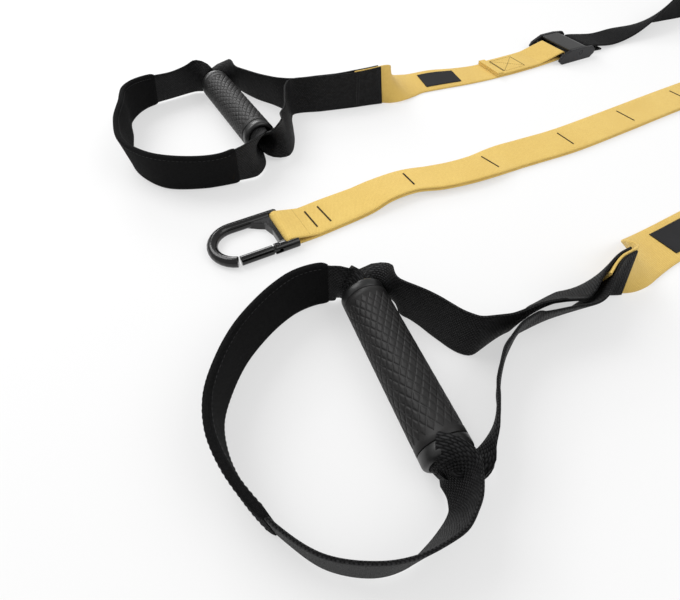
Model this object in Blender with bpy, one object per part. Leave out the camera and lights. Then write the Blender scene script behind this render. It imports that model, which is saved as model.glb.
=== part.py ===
# Suspension trainer lying on a floor: metres, +Z up, +X along the anchor strap, origin under the crossbar
import bpy
import bmesh
import numpy as np
from math import cos, pi, radians, sin, tau
from mathutils import Matrix, Vector

# Driving dimensions
WEBBING_WIDTH = 0.038
WEBBING_THICKNESS = 0.002
GAP = 0.0003
OVERRUN = 0.002

CARABINER_WIDTH = 0.0495
CARABINER_REACH = 0.056
ROD_DIAMETER = 0.0088
CROSSBAR_WIDTH = 0.0038
OUTER_BAR_DIAMETER = 0.0048
TAIL_REACH = 0.012
PLATE_THICKNESS = 0.0070
NOSE_ANGLE = 250
GATE_DIAMETER = 0.0078
GATE_LENGTH = 0.0270
GATE_TONGUE = 0.0030
GATE_PIN_DIAMETER = 0.0026
LUG_WALL = 0.0012

TACK_PITCH = 0.088
ANCHOR_LENGTH = 0.580

LINK_ROD = 0.006
LINK_OPENING = 0.016
LINK_CORNER = 0.004

GRIP_LENGTH = 0.126
GRIP_DIAMETER = 0.031
GRIP_BORE = 0.0244
CORE_WALL = 0.0011
CAP_LENGTH = 0.0085
CAP_ROUNDING = 0.0030

LOOP_REACH = 0.115
TRIANGLE_REACH = 0.0675
PAD_WIDTH = 0.041
PAD_WALL = 0.0012
JOINT_OVERLAP = 0.030
LABEL_LENGTH = 0.050
LABEL_WIDTH = 0.025
LABEL_THICKNESS = 0.0008
RETURN_LENGTH = 0.100
TAIL_FOLD = 0.030

BUCKLE_WIDTH = 0.055
BUCKLE_LENGTH = 0.044
BUCKLE_NOSE = 0.011
CHEEK_THICKNESS = 0.0034
BUCKLE_BAR = 0.0050
BASE_THICKNESS = 0.0020
LEVER_THICKNESS = 0.0026
LEVER_PIN = 0.0040

UPPER_REACH = 0.280

# Where the legs lie: the centre of each grip and its turn, and how far the buckle's front bar is short of the link
FAR_GRIP_ALONG = 0.0345
FAR_GRIP_ASIDE = 0.1785
FAR_TURN = radians(1.5)
FAR_BUCKLE_SETBACK = 0.1699
FAR_BUCKLE_ASIDE = 0.1490
NEAR_GRIP_ALONG = 0.01535
NEAR_GRIP_ASIDE = -0.1605
NEAR_TURN = radians(-7.65)
NEAR_BUCKLE_SETBACK = 0.1499
NEAR_BUCKLE_ASIDE = -0.1500

# A foot loop's route, anticlockwise from the grip's upper mouth to its lower one: shares of the loop's reach and of
# the grip's length, then the webbing's roll from flat and the curl across it, in degrees
FAR_CRADLE_SHARES = (
    (0.095, 0.545, 100, 180), (0.125, 0.590, 92, 110), (0.20, 0.625, 75, 30), (0.38, 0.608, 65, 0),
    (0.64, 0.583, 70, 0), (0.83, 0.437, 80, 0), (0.94, 0.193, 88, 0), (0.99, -0.060, 95, 0),
    (0.96, -0.338, 101, 0), (0.81, -0.588, 102, 0), (0.625, -0.727, 107, 0), (0.435, -0.780, 108, 0),
    (0.26, -0.792, 100, 0), (0.17, -0.760, 92, 40), (0.115, -0.670, 95, 110), (0.095, -0.550, 102, 180),
)
NEAR_CRADLE_SHARES = (
    (0.095, 0.545, 100, 180), (0.13, 0.585, 95, 110), (0.233, 0.608, 88, 20), (0.38, 0.598, 90, 0),
    (0.52, 0.549, 90, 0), (0.65, 0.477, 90, 0), (0.795, 0.363, 90, 0), (0.91, 0.213, 90, 0),
    (0.985, 0.060, 90, 0), (1.00, -0.094, 92, 0), (0.965, -0.242, 93, 0), (0.90, -0.395, 94, 0),
    (0.81, -0.544, 95, 0), (0.675, -0.687, 94, 0), (0.485, -0.776, 93, 0), (0.29, -0.808, 92, 0),
    (0.17, -0.785, 90, 30), (0.115, -0.680, 95, 100), (0.095, -0.550, 100, 180),
)
# The stretch of each foot loop inside its pad, counted along the stations above
FAR_PAD_SHARES = (3.6, 11.7)
NEAR_PAD_SHARES = (3.4, 14.7)

# A hand triangle's route from the joint to the lower mouth, and from the upper mouth back to the joint: shares of
# the triangle's reach and of the grip's length, roll and curl
FAR_LOWER_SHARES = (
    (-0.87, -0.090, 92, 0), (-0.80, -0.150, 95, 0), (-0.68, -0.300, 98, 0), (-0.56, -0.445, 100, 0),
    (-0.43, -0.545, 105, 0), (-0.31, -0.600, 98, -70), (-0.22, -0.605, 88, -170), (-0.13, -0.545, 78, -240),
)
FAR_UPPER_SHARES = (
    (-0.13, 0.540, 78, -240), (-0.21, 0.580, 85, -190), (-0.29, 0.535, 98, -90), (-0.365, 0.436, 112, -20),
    (-0.495, 0.267, 107, 0),
    (-0.635, 0.130, 106, 0), (-0.76, 0.005, 100, 0), (-0.89, -0.078, 92, 0),
)
NEAR_LOWER_SHARES = (
    (-1.357, 0.054, 105, 0), (-1.16, 0.008, 107, 0), (-0.945, -0.088, 107, 0), (-0.80, -0.178, 107, 0),
    (-0.69, -0.274, 107, 0), (-0.565, -0.364, 107, 0), (-0.45, -0.444, 105, 0), (-0.35, -0.530, 98, -60),
    (-0.25, -0.575, 88, -175), (-0.14, -0.545, 78, -240),
)
NEAR_UPPER_SHARES = (
    (-0.13, 0.540, 78, -240), (-0.21, 0.560, 82, -190), (-0.32, 0.480, 88, -80), (-0.42, 0.350, 92, -10),
    (-0.54, 0.203, 90, 0),
    (-0.665, 0.068, 90, 0), (-0.785, 0.012, 90, 0), (-0.92, 0.022, 90, 0), (-1.15, 0.040, 90, 0),
)
FAR_JOINT_SHARES = (-1.00, -0.101)
NEAR_JOINT_SHARES = (-1.41, 0.066)

# The way from the joint to the buckle: the share of it gone, the webbing's foot aside as a share of its width, and
# the rolls of the front and of the back layer; past the seam a single layer goes on
FAR_DOUBLED_SHARES = ((0.05, -0.145, 90, 90), (0.107, -0.276, 90, 90), (0.163, -0.368, 90, 90),
                      (0.226, -0.500, 84, 84), (0.270, -0.640, 72, 72))
NEAR_DOUBLED_SHARES = ((0.05, -0.03, 112, 84), (0.110, -0.08, 113, 72), (0.165, -0.10, 92, 88),
                       (0.210, -0.13, 84, 84), (0.255, -0.30, 72, 72))
FAR_SINGLE_SHARES = ((0.312, -0.46, 45), (0.356, -0.30, 20), (0.407, -0.184, 8), (0.496, -0.263, 7),
                     (0.585, -0.38, 3), (0.68, -0.46, 0), (0.76, -0.487, 0), (0.86, -0.487, 0))
NEAR_SINGLE_SHARES = ((0.300, -0.05, 45), (0.345, 0.10, 20), (0.40, 0.20, 5), (0.50, 0.26, 0),
                      (0.60, 0.30, 0), (0.68, 0.33, 0), (0.76, 0.37, 0), (0.86, 0.39, 0))
FAR_SEAM_SHARE = 0.255
NEAR_SEAM_SHARE = 0.250
LABEL_SHARE = 0.51

# How the anchor strap lies: stations in tack pitches from the bar, place aside as a share of its width, roll
ANCHOR_SHARES = (
    (0.25, 0.00, 0), (0.57, 0.053, 0), (0.85, 0.08, -3), (1.08, 0.14, -8), (1.42, 0.145, -8),
    (1.70, -0.016, -6), (1.97, -0.13, -6), (2.26, -0.168, -5), (2.57, -0.11, 0), (2.89, -0.145, 0),
    (3.40, -0.21, 0), (4.20, -0.16, 0), (5.00, -0.08, 0), (5.80, -0.02, 0), (6.35, 0.00, 0),
)
# Half of the upper strap, from a buckle out and back to the link: along as a share of its reach past the link, aside
# as a share of the buckle's distance from the middle, and roll
UPPER_SHARES = (
    (-0.28, 1.00, 0), (-0.16, 1.00, 6), (-0.02, 1.01, 30), (0.16, 1.03, 70), (0.34, 1.04, 90), (0.52, 1.05, 90),
    (0.70, 1.03, 90), (0.84, 0.96, 90), (0.95, 0.80, 90), (0.985, 0.61, 90), (0.95, 0.42, 90), (0.84, 0.26, 90),
    (0.70, 0.18, 90), (0.56, 0.14, 90), (0.42, 0.10, 115), (0.28, 0.05, 150), (0.16, 0.01, 174), (0.10, 0.00, 180),
)

ACROSS_STEPS = 8
PAD_STEPS = 4
STEP_FINE = 0.0010
STRAY = 0.0001
TWIST_LIMIT = radians(3)
MOUTH_LIFT = 0.0012
CRADLE_ROLL = 105
TRIANGLE_ROLL = 75
LATHE_SIDES = 32
ROD_SIDES = 16
CORNER_STEPS = 5

# Sizes that follow from the driving ones
layer = WEBBING_THICKNESS + GAP
half_layer = layer / 2
outer_curl_radius = GRIP_BORE / 2 - 2 * GAP - WEBBING_THICKNESS / 2
inner_curl_radius = outer_curl_radius - layer - GAP
sleeve_space = WEBBING_THICKNESS + 2 * GAP
pad_thickness = sleeve_space + 2 * PAD_WALL
parting = layer + GAP
outer_bar_along = CROSSBAR_WIDTH / 2 + sleeve_space + OUTER_BAR_DIAMETER / 2
outer_bar_height = layer + OUTER_BAR_DIAMETER / 2
slot_half = WEBBING_WIDTH / 2 + GAP
link_bar_along = outer_bar_along + ANCHOR_LENGTH
link_height = layer + LINK_ROD / 2
link_far_bar_along = link_bar_along + LINK_OPENING + LINK_ROD
buckle_bar_height = layer + BASE_THICKNESS + BUCKLE_BAR / 2
rear_bar_offset = BUCKLE_LENGTH - BUCKLE_BAR / 2
bar_wrap = BUCKLE_BAR / 2 + GAP + WEBBING_THICKNESS / 2
lever_pin_along = BUCKLE_LENGTH / 2
lever_pin_height = buckle_bar_height + BUCKLE_BAR / 2 + GAP


class Leg:
    # One leg's places on the floor
    def __init__(self, side, grip, turn, joint_shares, buckle, seam_share, tables):
        self.side = side
        self.grip = np.array(grip)
        self.turn = turn
        self.up = np.array([-sin(turn), cos(turn)])
        self.left = np.array([-cos(turn), -sin(turn)])
        self.joint = (self.grip + self.left * joint_shares[0] * TRIANGLE_REACH
                      + self.up * joint_shares[1] * GRIP_LENGTH)
        self.buckle = np.array(buckle)
        self.front_bar = (*buckle, buckle_bar_height)
        self.rear_bar = (buckle[0] + rear_bar_offset, buckle[1], buckle_bar_height)
        self.run = self.buckle[0] - self.joint[0]
        self.seam = self.joint[0] + seam_share * self.run
        self.cradle, self.pad, self.lower, self.upper, self.doubled, self.single = tables

    def stations(self, table, reach, lift=0.0):
        return [(*(self.grip + self.left * a * reach + self.up * b * GRIP_LENGTH), roll, curl,
                 lift * abs(radians(curl))) for a, b, roll, curl in table]


LEGS = (
    Leg("far", (FAR_GRIP_ALONG, FAR_GRIP_ASIDE), FAR_TURN, FAR_JOINT_SHARES,
        (link_far_bar_along - FAR_BUCKLE_SETBACK, FAR_BUCKLE_ASIDE),
        FAR_SEAM_SHARE, (FAR_CRADLE_SHARES, FAR_PAD_SHARES, FAR_LOWER_SHARES, FAR_UPPER_SHARES, FAR_DOUBLED_SHARES,
                         FAR_SINGLE_SHARES)),
    Leg("near", (NEAR_GRIP_ALONG, NEAR_GRIP_ASIDE), NEAR_TURN, NEAR_JOINT_SHARES,
        (link_far_bar_along - NEAR_BUCKLE_SETBACK, NEAR_BUCKLE_ASIDE), NEAR_SEAM_SHARE,
        (NEAR_CRADLE_SHARES, NEAR_PAD_SHARES, NEAR_LOWER_SHARES, NEAR_UPPER_SHARES, NEAR_DOUBLED_SHARES,
         NEAR_SINGLE_SHARES)),
)


# Materials
def material(name, colour, roughness, metallic=0):
    made = bpy.data.materials.new(name)
    made.use_nodes = True
    shader = made.node_tree.nodes["Principled BSDF"]
    shader.inputs["Base Color"].default_value = (*colour, 1)
    shader.inputs["Roughness"].default_value = roughness
    shader.inputs["Metallic"].default_value = metallic
    return made


# Mesh helpers
def add_object(name, bm, look, place=(0, 0, 0), turn=0):
    bmesh.ops.recalc_face_normals(bm, faces=bm.faces)
    if bm.calc_volume(signed=True) < 0:
        bmesh.ops.reverse_faces(bm, faces=bm.faces)
    mesh = bpy.data.meshes.new(name)
    bm.to_mesh(mesh)
    bm.free()
    mesh.materials.append(look)
    mesh.shade_smooth()
    mesh.set_sharp_from_angle(angle=radians(35))
    made = bpy.data.objects.new(name, mesh)
    made.location = place
    made.rotation_euler = (0, 0, turn)
    bpy.context.scene.collection.objects.link(made)
    return made


def combine(target, other, operation="DIFFERENCE"):
    other.hide_render = True
    other.hide_set(True)
    other.display_type = "WIRE"
    modifier = target.modifiers.new(operation.title(), "BOOLEAN")
    modifier.operation = operation
    modifier.solver = "EXACT"
    modifier.object = other


def seat(piece, place):
    # Moves a piece's origin to a joint's axis; its shape stays where it is
    spot = Vector(place)
    piece.data.transform(Matrix.Translation(piece.location - spot))
    piece.location = spot


def unit_rows(vectors):
    return vectors / np.linalg.norm(vectors, axis=1)[:, None]


def headings(places, closed=False):
    if closed:
        return unit_rows(np.roll(places, -1, 0) - np.roll(places, 1, 0))
    return unit_rows(np.gradient(places, axis=0))


def smooth_rows(rows, closed=False):
    # A centripetal Catmull-Rom curve through the rows, resampled evenly; the first three columns are a place
    given = np.asarray(rows, float)
    if closed:
        given = np.vstack([given[-1], given, given[:2]])
    else:
        given = np.vstack([2 * given[0] - given[1], given, 2 * given[-1] - given[-2]])
    parts = []
    for a, b, c, d in zip(given, given[1:], given[2:], given[3:]):
        t0 = 0.0
        t1 = t0 + np.linalg.norm((b - a)[:3]) ** 0.5
        t2 = t1 + np.linalg.norm((c - b)[:3]) ** 0.5
        t3 = t2 + np.linalg.norm((d - c)[:3]) ** 0.5
        t = np.linspace(t1, t2, 2 * LATHE_SIDES, endpoint=False)[:, None]
        ab = ((t1 - t) * a + (t - t0) * b) / (t1 - t0)
        bc = ((t2 - t) * b + (t - t1) * c) / (t2 - t1)
        cd = ((t3 - t) * c + (t - t2) * d) / (t3 - t2)
        abc = ((t2 - t) * ab + (t - t0) * bc) / (t2 - t0)
        bcd = ((t3 - t) * bc + (t - t1) * cd) / (t3 - t1)
        parts.append(((t2 - t) * abc + (t - t1) * bcd) / (t2 - t1))
    fine = np.vstack(parts + [parts[0][:1] if closed else given[-2:-1]])
    run = np.r_[0, np.cumsum(np.linalg.norm(np.diff(fine[:, :3], axis=0), axis=1))]
    at = np.linspace(0, run[-1], round(run[-1] / STEP_FINE) + 1)
    even = np.stack([np.interp(at, run, column) for column in fine.T], axis=1)
    return even[:-1] if closed else even


def thinned(rows, closed=False):
    # The rows that a faceted ribbon needs: it may stray this far from the smooth one, and twist this much in a step
    along = headings(rows[:, :3], closed)
    wide = unit_rows(rows[:, 3:6])
    kept = [0]
    for i in range(1, len(rows)):
        last = kept[-1]
        turned = np.arccos(np.clip(along[i] @ along[last], -1, 1))
        twisted = np.arccos(np.clip(wide[i] @ wide[last], -1, 1))
        unrolled = abs(rows[i, 6] - rows[last, 6])
        gone = np.linalg.norm(rows[i, :3] - rows[last, :3])
        if turned * gone / 8 > STRAY or twisted > TWIST_LIMIT or unrolled > 6 * TWIST_LIMIT or gone > WEBBING_WIDTH:
            kept.append(i)
    if not closed and kept[-1] != len(rows) - 1:
        kept.append(len(rows) - 1)
    return rows[kept]


def section_spots(width, thickness, curl, steps):
    # Places across a webbing's section, as (along the width, along the face): its lower face, then its upper one
    spots = []
    for side in (-0.5, 0.5):
        for share in np.linspace(-0.5, 0.5, steps + 1):
            angle = share * curl
            along, rise = share * width, 0.0
            if curl:
                along, rise = width / curl * sin(angle), width / curl * (1 - cos(angle))
            spots.append((along - side * thickness * sin(angle), rise + side * thickness * cos(angle)))
    return np.array(spots)


def with_headings(rows, closed=False):
    # The rows with the way they head, so that thinning them doesn't change it
    return np.hstack([rows[:, :7], headings(rows[:, :3], closed)])


def sections_of(rows, width, thickness, steps=ACROSS_STEPS, shift=0.0):
    # The corners of the section at each row (place, width direction, curl, heading)
    places, curls, along = rows[:, :3], rows[:, 6], rows[:, 7:10]
    wide = unit_rows(rows[:, 3:6] - (rows[:, 3:6] * along).sum(1)[:, None] * along)
    face = np.cross(along, wide)
    made = []
    for place, w, f, curl in zip(places, wide, face, curls):
        spots = section_spots(width, thickness, curl, steps)
        made.append(place + f * shift + spots[:, :1] * w + spots[:, 1:] * f)
    return np.array(made)


def settled(rows, width=WEBBING_WIDTH, thickness=WEBBING_THICKNESS, closed=False):
    # The rows with headings, raised wherever a webbing of this size would dip below the floor
    raised = with_headings(rows, closed)
    lowest = sections_of(raised, width, thickness)[:, :, 2].min(axis=1)
    raised[:, 2] += np.maximum(0.0, -lowest)
    return raised


def skin(loops, closed):
    # A closed body over sections whose corners run once round the outline; open ends are closed by strips
    bm = bmesh.new()
    rings = [[bm.verts.new(corner) for corner in loop] for loop in loops]
    count = len(rings[0])
    for one, two in list(zip(rings, rings[1:])) + ([(rings[-1], rings[0])] if closed else []):
        for i in range(count):
            bm.faces.new((one[i - 1], one[i], two[i], two[i - 1]))
    if not closed:
        for ring in (rings[0], rings[-1]):
            for i in range(count // 2 - 1):
                bm.faces.new((ring[i], ring[i + 1], ring[-2 - i], ring[-1 - i]))
    return bm


def ribbon(name, rows, look, width=WEBBING_WIDTH, thickness=WEBBING_THICKNESS, steps=ACROSS_STEPS, closed=False,
           shift=0.0, thin=True):
    corners = sections_of(thinned(rows, closed) if thin else rows, width, thickness, steps, shift)
    order = list(range(steps + 1)) + list(range(2 * steps + 1, steps, -1))
    return add_object(name, skin(corners[:, order], closed), look)


def lying(path, width=WEBBING_WIDTH, thickness=WEBBING_THICKNESS):
    # Rows from (x, y, roll, curl, lift) of the webbing's middle, its lowest edge at the lift
    path = np.asarray(path, float)
    rows = []
    for (x, y, roll, curl, lift), (hx, hy) in zip(path, headings(path[:, :2])):
        roll, curl = radians(roll), radians(curl)
        left = np.array([-hy, hx, 0])
        wide = cos(roll) * left + sin(roll) * np.array([0, 0, 1])
        face = -sin(roll) * left + cos(roll) * np.array([0, 0, 1])
        spots = section_spots(width, thickness, curl, ACROSS_STEPS)
        low = (spots[:, 0] * wide[2] + spots[:, 1] * face[2]).min()
        rows.append([x, y, lift - low, *wide, curl])
    return np.array(rows)


def standing(path, aside=0.0):
    # Rows from (x, y, roll) of the webbing's foot, moved aside along the floor
    path = np.asarray(path, float)
    made = []
    for (x, y, roll), (hx, hy) in zip(path, headings(path[:, :2])):
        away = cos(radians(roll)) * WEBBING_WIDTH / 2 + aside
        made.append((x - hy * away, y + hx * away, roll, 0, 0))
    return lying(made)


def around_bar(along, aside, height, radius, start, end):
    # Rows round a bar that lies along Y: angles from +X towards +Z, in degrees
    made = []
    for angle in np.radians(np.linspace(start, end, 2 * CORNER_STEPS + 1)):
        made.append([along + radius * cos(angle), aside, height + radius * sin(angle), 0, 1, 0, 0])
    return np.array(made)


def lathe(name, profile, look, place, turn, sides=LATHE_SIDES):
    # A turned body from a closed (radius, along) outline, its axis along local Y
    rings = []
    for angle in np.arange(sides) * tau / sides:
        rings.append([(r * cos(angle), t, r * sin(angle)) for r, t in profile])
    return add_object(name, skin(rings, True), look, place, turn)


def rod(name, diameter, length, look, place=(0, 0, 0), axis="Y", sides=ROD_SIDES):
    # A round bar centred on its place
    bm = bmesh.new()
    bmesh.ops.create_cone(bm, cap_ends=True, segments=sides, radius1=diameter / 2, radius2=diameter / 2, depth=length)
    if axis != "Z":
        turned = Matrix.Rotation(pi / 2, 3, "Y" if axis == "X" else "X")
        bmesh.ops.rotate(bm, verts=bm.verts, matrix=turned)
    return add_object(name, bm, look, place)


def prism(name, outline, low, high, look, place=(0, 0, 0), upright=False):
    # An outline extruded from low to high: along Z, or along Y when upright (the outline is then in X and Z)
    bm = bmesh.new()
    rings = []
    for level in (low, high):
        rings.append([bm.verts.new((a, level, b) if upright else (a, b, level)) for a, b in outline])
    for i in range(len(outline)):
        bm.faces.new((rings[0][i - 1], rings[0][i], rings[1][i], rings[1][i - 1]))
    bm.faces.new(rings[0])
    bm.faces.new(rings[1])
    return add_object(name, bm, look, place)


def arc(centre, radius, start, end, count=CORNER_STEPS):
    angles = np.radians(np.linspace(start, end, count))
    return [(centre[0] + radius * cos(a), centre[1] + radius * sin(a)) for a in angles]


def rounded(low, high, radius):
    # A rectangle's outline with rounded corners
    return (arc((high[0] - radius, high[1] - radius), radius, 0, 90)
            + arc((low[0] + radius, high[1] - radius), radius, 90, 180)
            + arc((low[0] + radius, low[1] + radius), radius, 180, 270)
            + arc((high[0] - radius, low[1] + radius), radius, 270, 360))


def bent_rod(name, path, diameter, height, look, closed=False, sides=ROD_SIDES):
    # A round rod along a path in a plane parallel to the floor
    path = np.asarray(path, float)
    loops = []
    for (x, y), (hx, hy) in zip(path, headings(path, closed)):
        ring = []
        for angle in np.arange(sides) * tau / sides:
            out = diameter / 2 * cos(angle)
            ring.append((x - hy * out, y + hx * out, height + diameter / 2 * sin(angle)))
        loops.append(ring)
    return add_object(name, skin(loops, closed), look)


# Foot loop
def tube_rows(leg, radius, roll, curl):
    # The stretch inside the grip, curled about the grip's own axis
    left = np.array([*leg.left, 0])
    wide = cos(radians(roll)) * left + sin(radians(roll)) * np.array([0, 0, 1])
    face = -sin(radians(roll)) * left + cos(radians(roll)) * np.array([0, 0, 1])
    away = radius if curl < 0 else -radius
    end = GRIP_LENGTH / 2
    made = []
    for along in (-end - OVERRUN, -end, 0, end, end + OVERRUN):
        x, y = leg.grip + leg.up * along
        made.append([*(np.array([x, y, GRIP_DIAMETER / 2]) + away * face), *wide, curl])
    return np.array(made)


def make_cradle(leg, webbing, pad):
    tube = tube_rows(leg, outer_curl_radius, CRADLE_ROLL, WEBBING_WIDTH / outer_curl_radius)
    outside = lying(leg.stations(leg.cradle, LOOP_REACH), PAD_WIDTH, pad_thickness)
    fine = smooth_rows(np.vstack([tube, outside]), closed=True)
    fine = settled(fine, PAD_WIDTH, pad_thickness, closed=True)
    seat(ribbon(leg.side + "_cradle_webbing", fine, webbing, closed=True), leg.front_bar)
    ends = []
    for station in leg.pad:
        spot = [np.interp(station, np.arange(len(outside)), column) for column in outside[:, :2].T]
        ends.append(np.linalg.norm(fine[:, :2] - spot, axis=1).argmin())
    stretch = thinned(fine[ends[0]:ends[1] + 1])
    side = PAD_STEPS + 1
    order = list(range(side)) + list(range(2 * side - 1, side - 1, -1))
    outer = sections_of(stretch, PAD_WIDTH, pad_thickness, PAD_STEPS)[:, order]
    inner = sections_of(stretch, WEBBING_WIDTH + 2 * GAP, sleeve_space, PAD_STEPS)[:, order]
    bm = bmesh.new()
    rings = [[bm.verts.new(corner) for corner in (*a, *b)] for a, b in zip(outer, inner)]
    count = len(order)
    around = [(i, (i + 1) % count) for i in range(count)]
    for one, two in zip(rings, rings[1:]):
        for i, j in around + [(count + i, count + j) for i, j in around]:
            bm.faces.new((one[i], one[j], two[j], two[i]))
    for ring in (rings[0], rings[-1]):
        for i, j in around:
            bm.faces.new((ring[i], ring[j], ring[count + j], ring[count + i]))
    seat(add_object(leg.side + "_cradle_pad", bm, pad), leg.front_bar)


# The webbing's way from the joint to the buckle's front bar, as fine rows
def trunk_rows(leg):
    doubled = [(leg.joint[0] + a * leg.run, leg.joint[1] + b * WEBBING_WIDTH, (front + back) / 2)
               for a, b, front, back in leg.doubled]
    single = [(leg.joint[0] + a * leg.run, leg.joint[1] + b * WEBBING_WIDTH, roll, 0, 0) for a, b, roll in leg.single]
    bend = around_bar(*leg.buckle, buckle_bar_height, bar_wrap, -90, 90)
    return settled(smooth_rows(np.vstack([standing(doubled), lying(single), bend[:1]]))), bend


# Hand triangle
def sewn_layer(leg, trunk, side):
    # One black layer beside the trunk: its foot on the floor, leaning away from the other where they part
    run = trunk[trunk[:, 0] < leg.seam]
    face = np.cross(run[:, 7:10], run[:, 3:6])
    places = [leg.joint[0] + row[0] * leg.run for row in leg.doubled]
    lean = np.interp(run[:, 0], places, [radians(front - back) / 2 for _, _, front, back in leg.doubled])
    pocket = leg.seam - JOINT_OVERLAP
    aside = np.interp(run[:, 0], (pocket - WEBBING_WIDTH / 2, pocket - OVERRUN), (half_layer, parting))
    made = run[:, :7].copy()
    half = WEBBING_WIDTH / 2
    made[:, 3:6] = run[:, 3:6] * np.cos(lean)[:, None] + side * face * np.sin(lean)[:, None]
    made[:, :3] += -half * run[:, 3:6] + half * made[:, 3:6] + side * face * aside[:, None]
    return made


def make_triangle(leg, webbing):
    trunk, _ = trunk_rows(leg)
    tube = tube_rows(leg, inner_curl_radius, TRIANGLE_ROLL, -WEBBING_WIDTH / inner_curl_radius)
    lower = lying(leg.stations(leg.lower, TRIANGLE_REACH, MOUTH_LIFT))
    upper = lying(leg.stations(leg.upper, TRIANGLE_REACH, MOUTH_LIFT))
    front = sewn_layer(leg, trunk, 1)[::-1]
    back = sewn_layer(leg, trunk, -1)
    rows = smooth_rows(np.vstack([front, lower, tube, upper, back]))
    seat(ribbon(leg.side + "_triangle_webbing", settled(rows), webbing), leg.front_bar)


# Adjustment strap: from between the black layers, round the buckle's front bar and back along itself
def make_strap(leg, yellow, label_look):
    trunk, bend = trunk_rows(leg)
    there = thinned(trunk[trunk[:, 0] > leg.seam - JOINT_OVERLAP])
    face = np.cross(there[:, 7:10], there[:, 3:6])
    back = there.copy()
    spread = np.interp(there[:, 0], (leg.buckle[0] - RETURN_LENGTH / 3, leg.buckle[0]), (layer, 2 * bar_wrap))
    back[:, :3] += face * spread[:, None]
    back = back[(there[:, 0] > leg.buckle[0] - RETURN_LENGTH) & (there[:, 0] < leg.buckle[0] - OVERRUN)][::-1]
    rows = with_headings(np.vstack([there[:, :7], bend[1:], back[:, :7]]))
    strap = ribbon(leg.side + "_adjustment_strap", rows, yellow, steps=PAD_STEPS, thin=False)
    seat(strap, leg.front_bar)
    middle = leg.joint[0] + LABEL_SHARE * leg.run
    ends = (middle - LABEL_LENGTH / 2, middle + LABEL_LENGTH / 2)
    inside = there[(there[:, 0] > ends[0] + OVERRUN) & (there[:, 0] < ends[1] - OVERRUN)]
    first, last = [np.array([np.interp(end, there[:, 0], column) for column in there.T]) for end in ends]
    label = ribbon(leg.side + "_label", np.vstack([first, inside, last]), label_look, LABEL_WIDTH, LABEL_THICKNESS, 2,
                   shift=WEBBING_THICKNESS / 2 + GAP + LABEL_THICKNESS / 2, thin=False)
    seat(label, leg.front_bar)


# Grip
def make_grip(leg, rubber, plastic):
    place = (*leg.grip, GRIP_DIAMETER / 2)
    bore, outer = GRIP_BORE / 2, GRIP_DIAMETER / 2
    core = bore + CORE_WALL
    half = GRIP_LENGTH / 2
    inner_end = half - CAP_LENGTH
    lathe(leg.side + "_grip_core", [(bore, -inner_end), (core, -inner_end), (core, inner_end), (bore, inner_end)],
          plastic, place, leg.turn)
    lathe(leg.side + "_grip_sleeve", [(core + GAP, -inner_end), (outer, -inner_end), (outer, inner_end),
                                      (core + GAP, inner_end)], rubber, place, leg.turn)
    start = inner_end + GAP
    edge = [(outer - CAP_ROUNDING * (1 - cos(a)), half - CAP_ROUNDING * (1 - sin(a)))
            for a in np.linspace(0, pi / 2, CORNER_STEPS)]
    for end, name in ((1, "_upper_cap"), (-1, "_lower_cap")):
        outline = [(bore, start), (outer, start), *edge, (bore, half)]
        lathe(leg.side + name, [(r, end * t) for r, t in outline], plastic, place, leg.turn)


# Cam buckle
def make_buckle(leg, metal, plastic):
    x, y = leg.buckle
    half = BUCKLE_WIDTH / 2
    inner = half - CHEEK_THICKNESS
    top = lever_pin_height + LEVER_PIN / 2 + CHEEK_THICKNESS
    back = rear_bar_offset + BUCKLE_BAR
    low, high = buckle_bar_height - BUCKLE_BAR / 2, buckle_bar_height + BUCKLE_BAR / 2
    side_view = [(-BUCKLE_NOSE, low), (-BUCKLE_BAR, 0), (back - BUCKLE_BAR, 0), (back, low), (back, high),
                 (back - BUCKLE_BAR, top - CHEEK_THICKNESS / 2), (lever_pin_along + BUCKLE_BAR, top),
                 (BUCKLE_BAR, top), (-BUCKLE_NOSE + BUCKLE_BAR / 2, high)]
    clear = sleeve_space + BUCKLE_BAR / 2
    floor_plan = [(clear, -half + GAP), (rear_bar_offset - clear, -half + GAP), (rear_bar_offset - clear, half - GAP),
                  (clear, half - GAP)]
    frame = prism(leg.side + "_buckle_frame", floor_plan, GAP, BASE_THICKNESS, metal, (x, y, 0))
    for side, right, left in (("right", -half, -inner), ("left", inner, half)):
        cheek = prism(f"{leg.side}_{side}_cheek_join", side_view, right, left, metal, (x, y, 0), upright=True)
        combine(frame, cheek, "UNION")
    for name, along in (("front", 0), ("rear", rear_bar_offset)):
        bar = rod(f"{leg.side}_{name}_bar_join", BUCKLE_BAR, 2 * inner + CHEEK_THICKNESS, metal,
                  (x + along, y, buckle_bar_height))
        combine(frame, bar, "UNION")
    seat(frame, leg.rear_bar)
    pin_place = (x + lever_pin_along, y, lever_pin_height)
    combine(frame, rod(leg.side + "_pin_cutter", LEVER_PIN + 2 * GAP, BUCKLE_WIDTH + OVERRUN, metal, pin_place))
    rod(leg.side + "_lever_pin", LEVER_PIN, BUCKLE_WIDTH, metal, pin_place)
    lever_half = inner - 2 * GAP
    lever_front = -lever_pin_along + BUCKLE_BAR
    lever_end = lever_pin_along - 2 * BUCKLE_BAR
    rise = LEVER_PIN / 2 + GAP
    outline = [(lever_front, rise + GAP), (lever_end - BUCKLE_BAR, rise), (lever_end, rise + LEVER_THICKNESS / 2),
               (lever_end - BUCKLE_BAR, rise + LEVER_THICKNESS), (lever_front + GAP, rise + LEVER_THICKNESS + GAP)]
    lever = prism(leg.side + "_cam_lever", outline, -lever_half, lever_half, plastic, pin_place, upright=True)
    combine(lever, rod(leg.side + "_cam_join", LEVER_PIN + 2 * LEVER_THICKNESS, 2 * lever_half - OVERRUN, plastic,
                       pin_place), "UNION")
    combine(lever, rod(leg.side + "_lever_cutter", LEVER_PIN + 2 * GAP, BUCKLE_WIDTH, plastic, pin_place))


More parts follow.
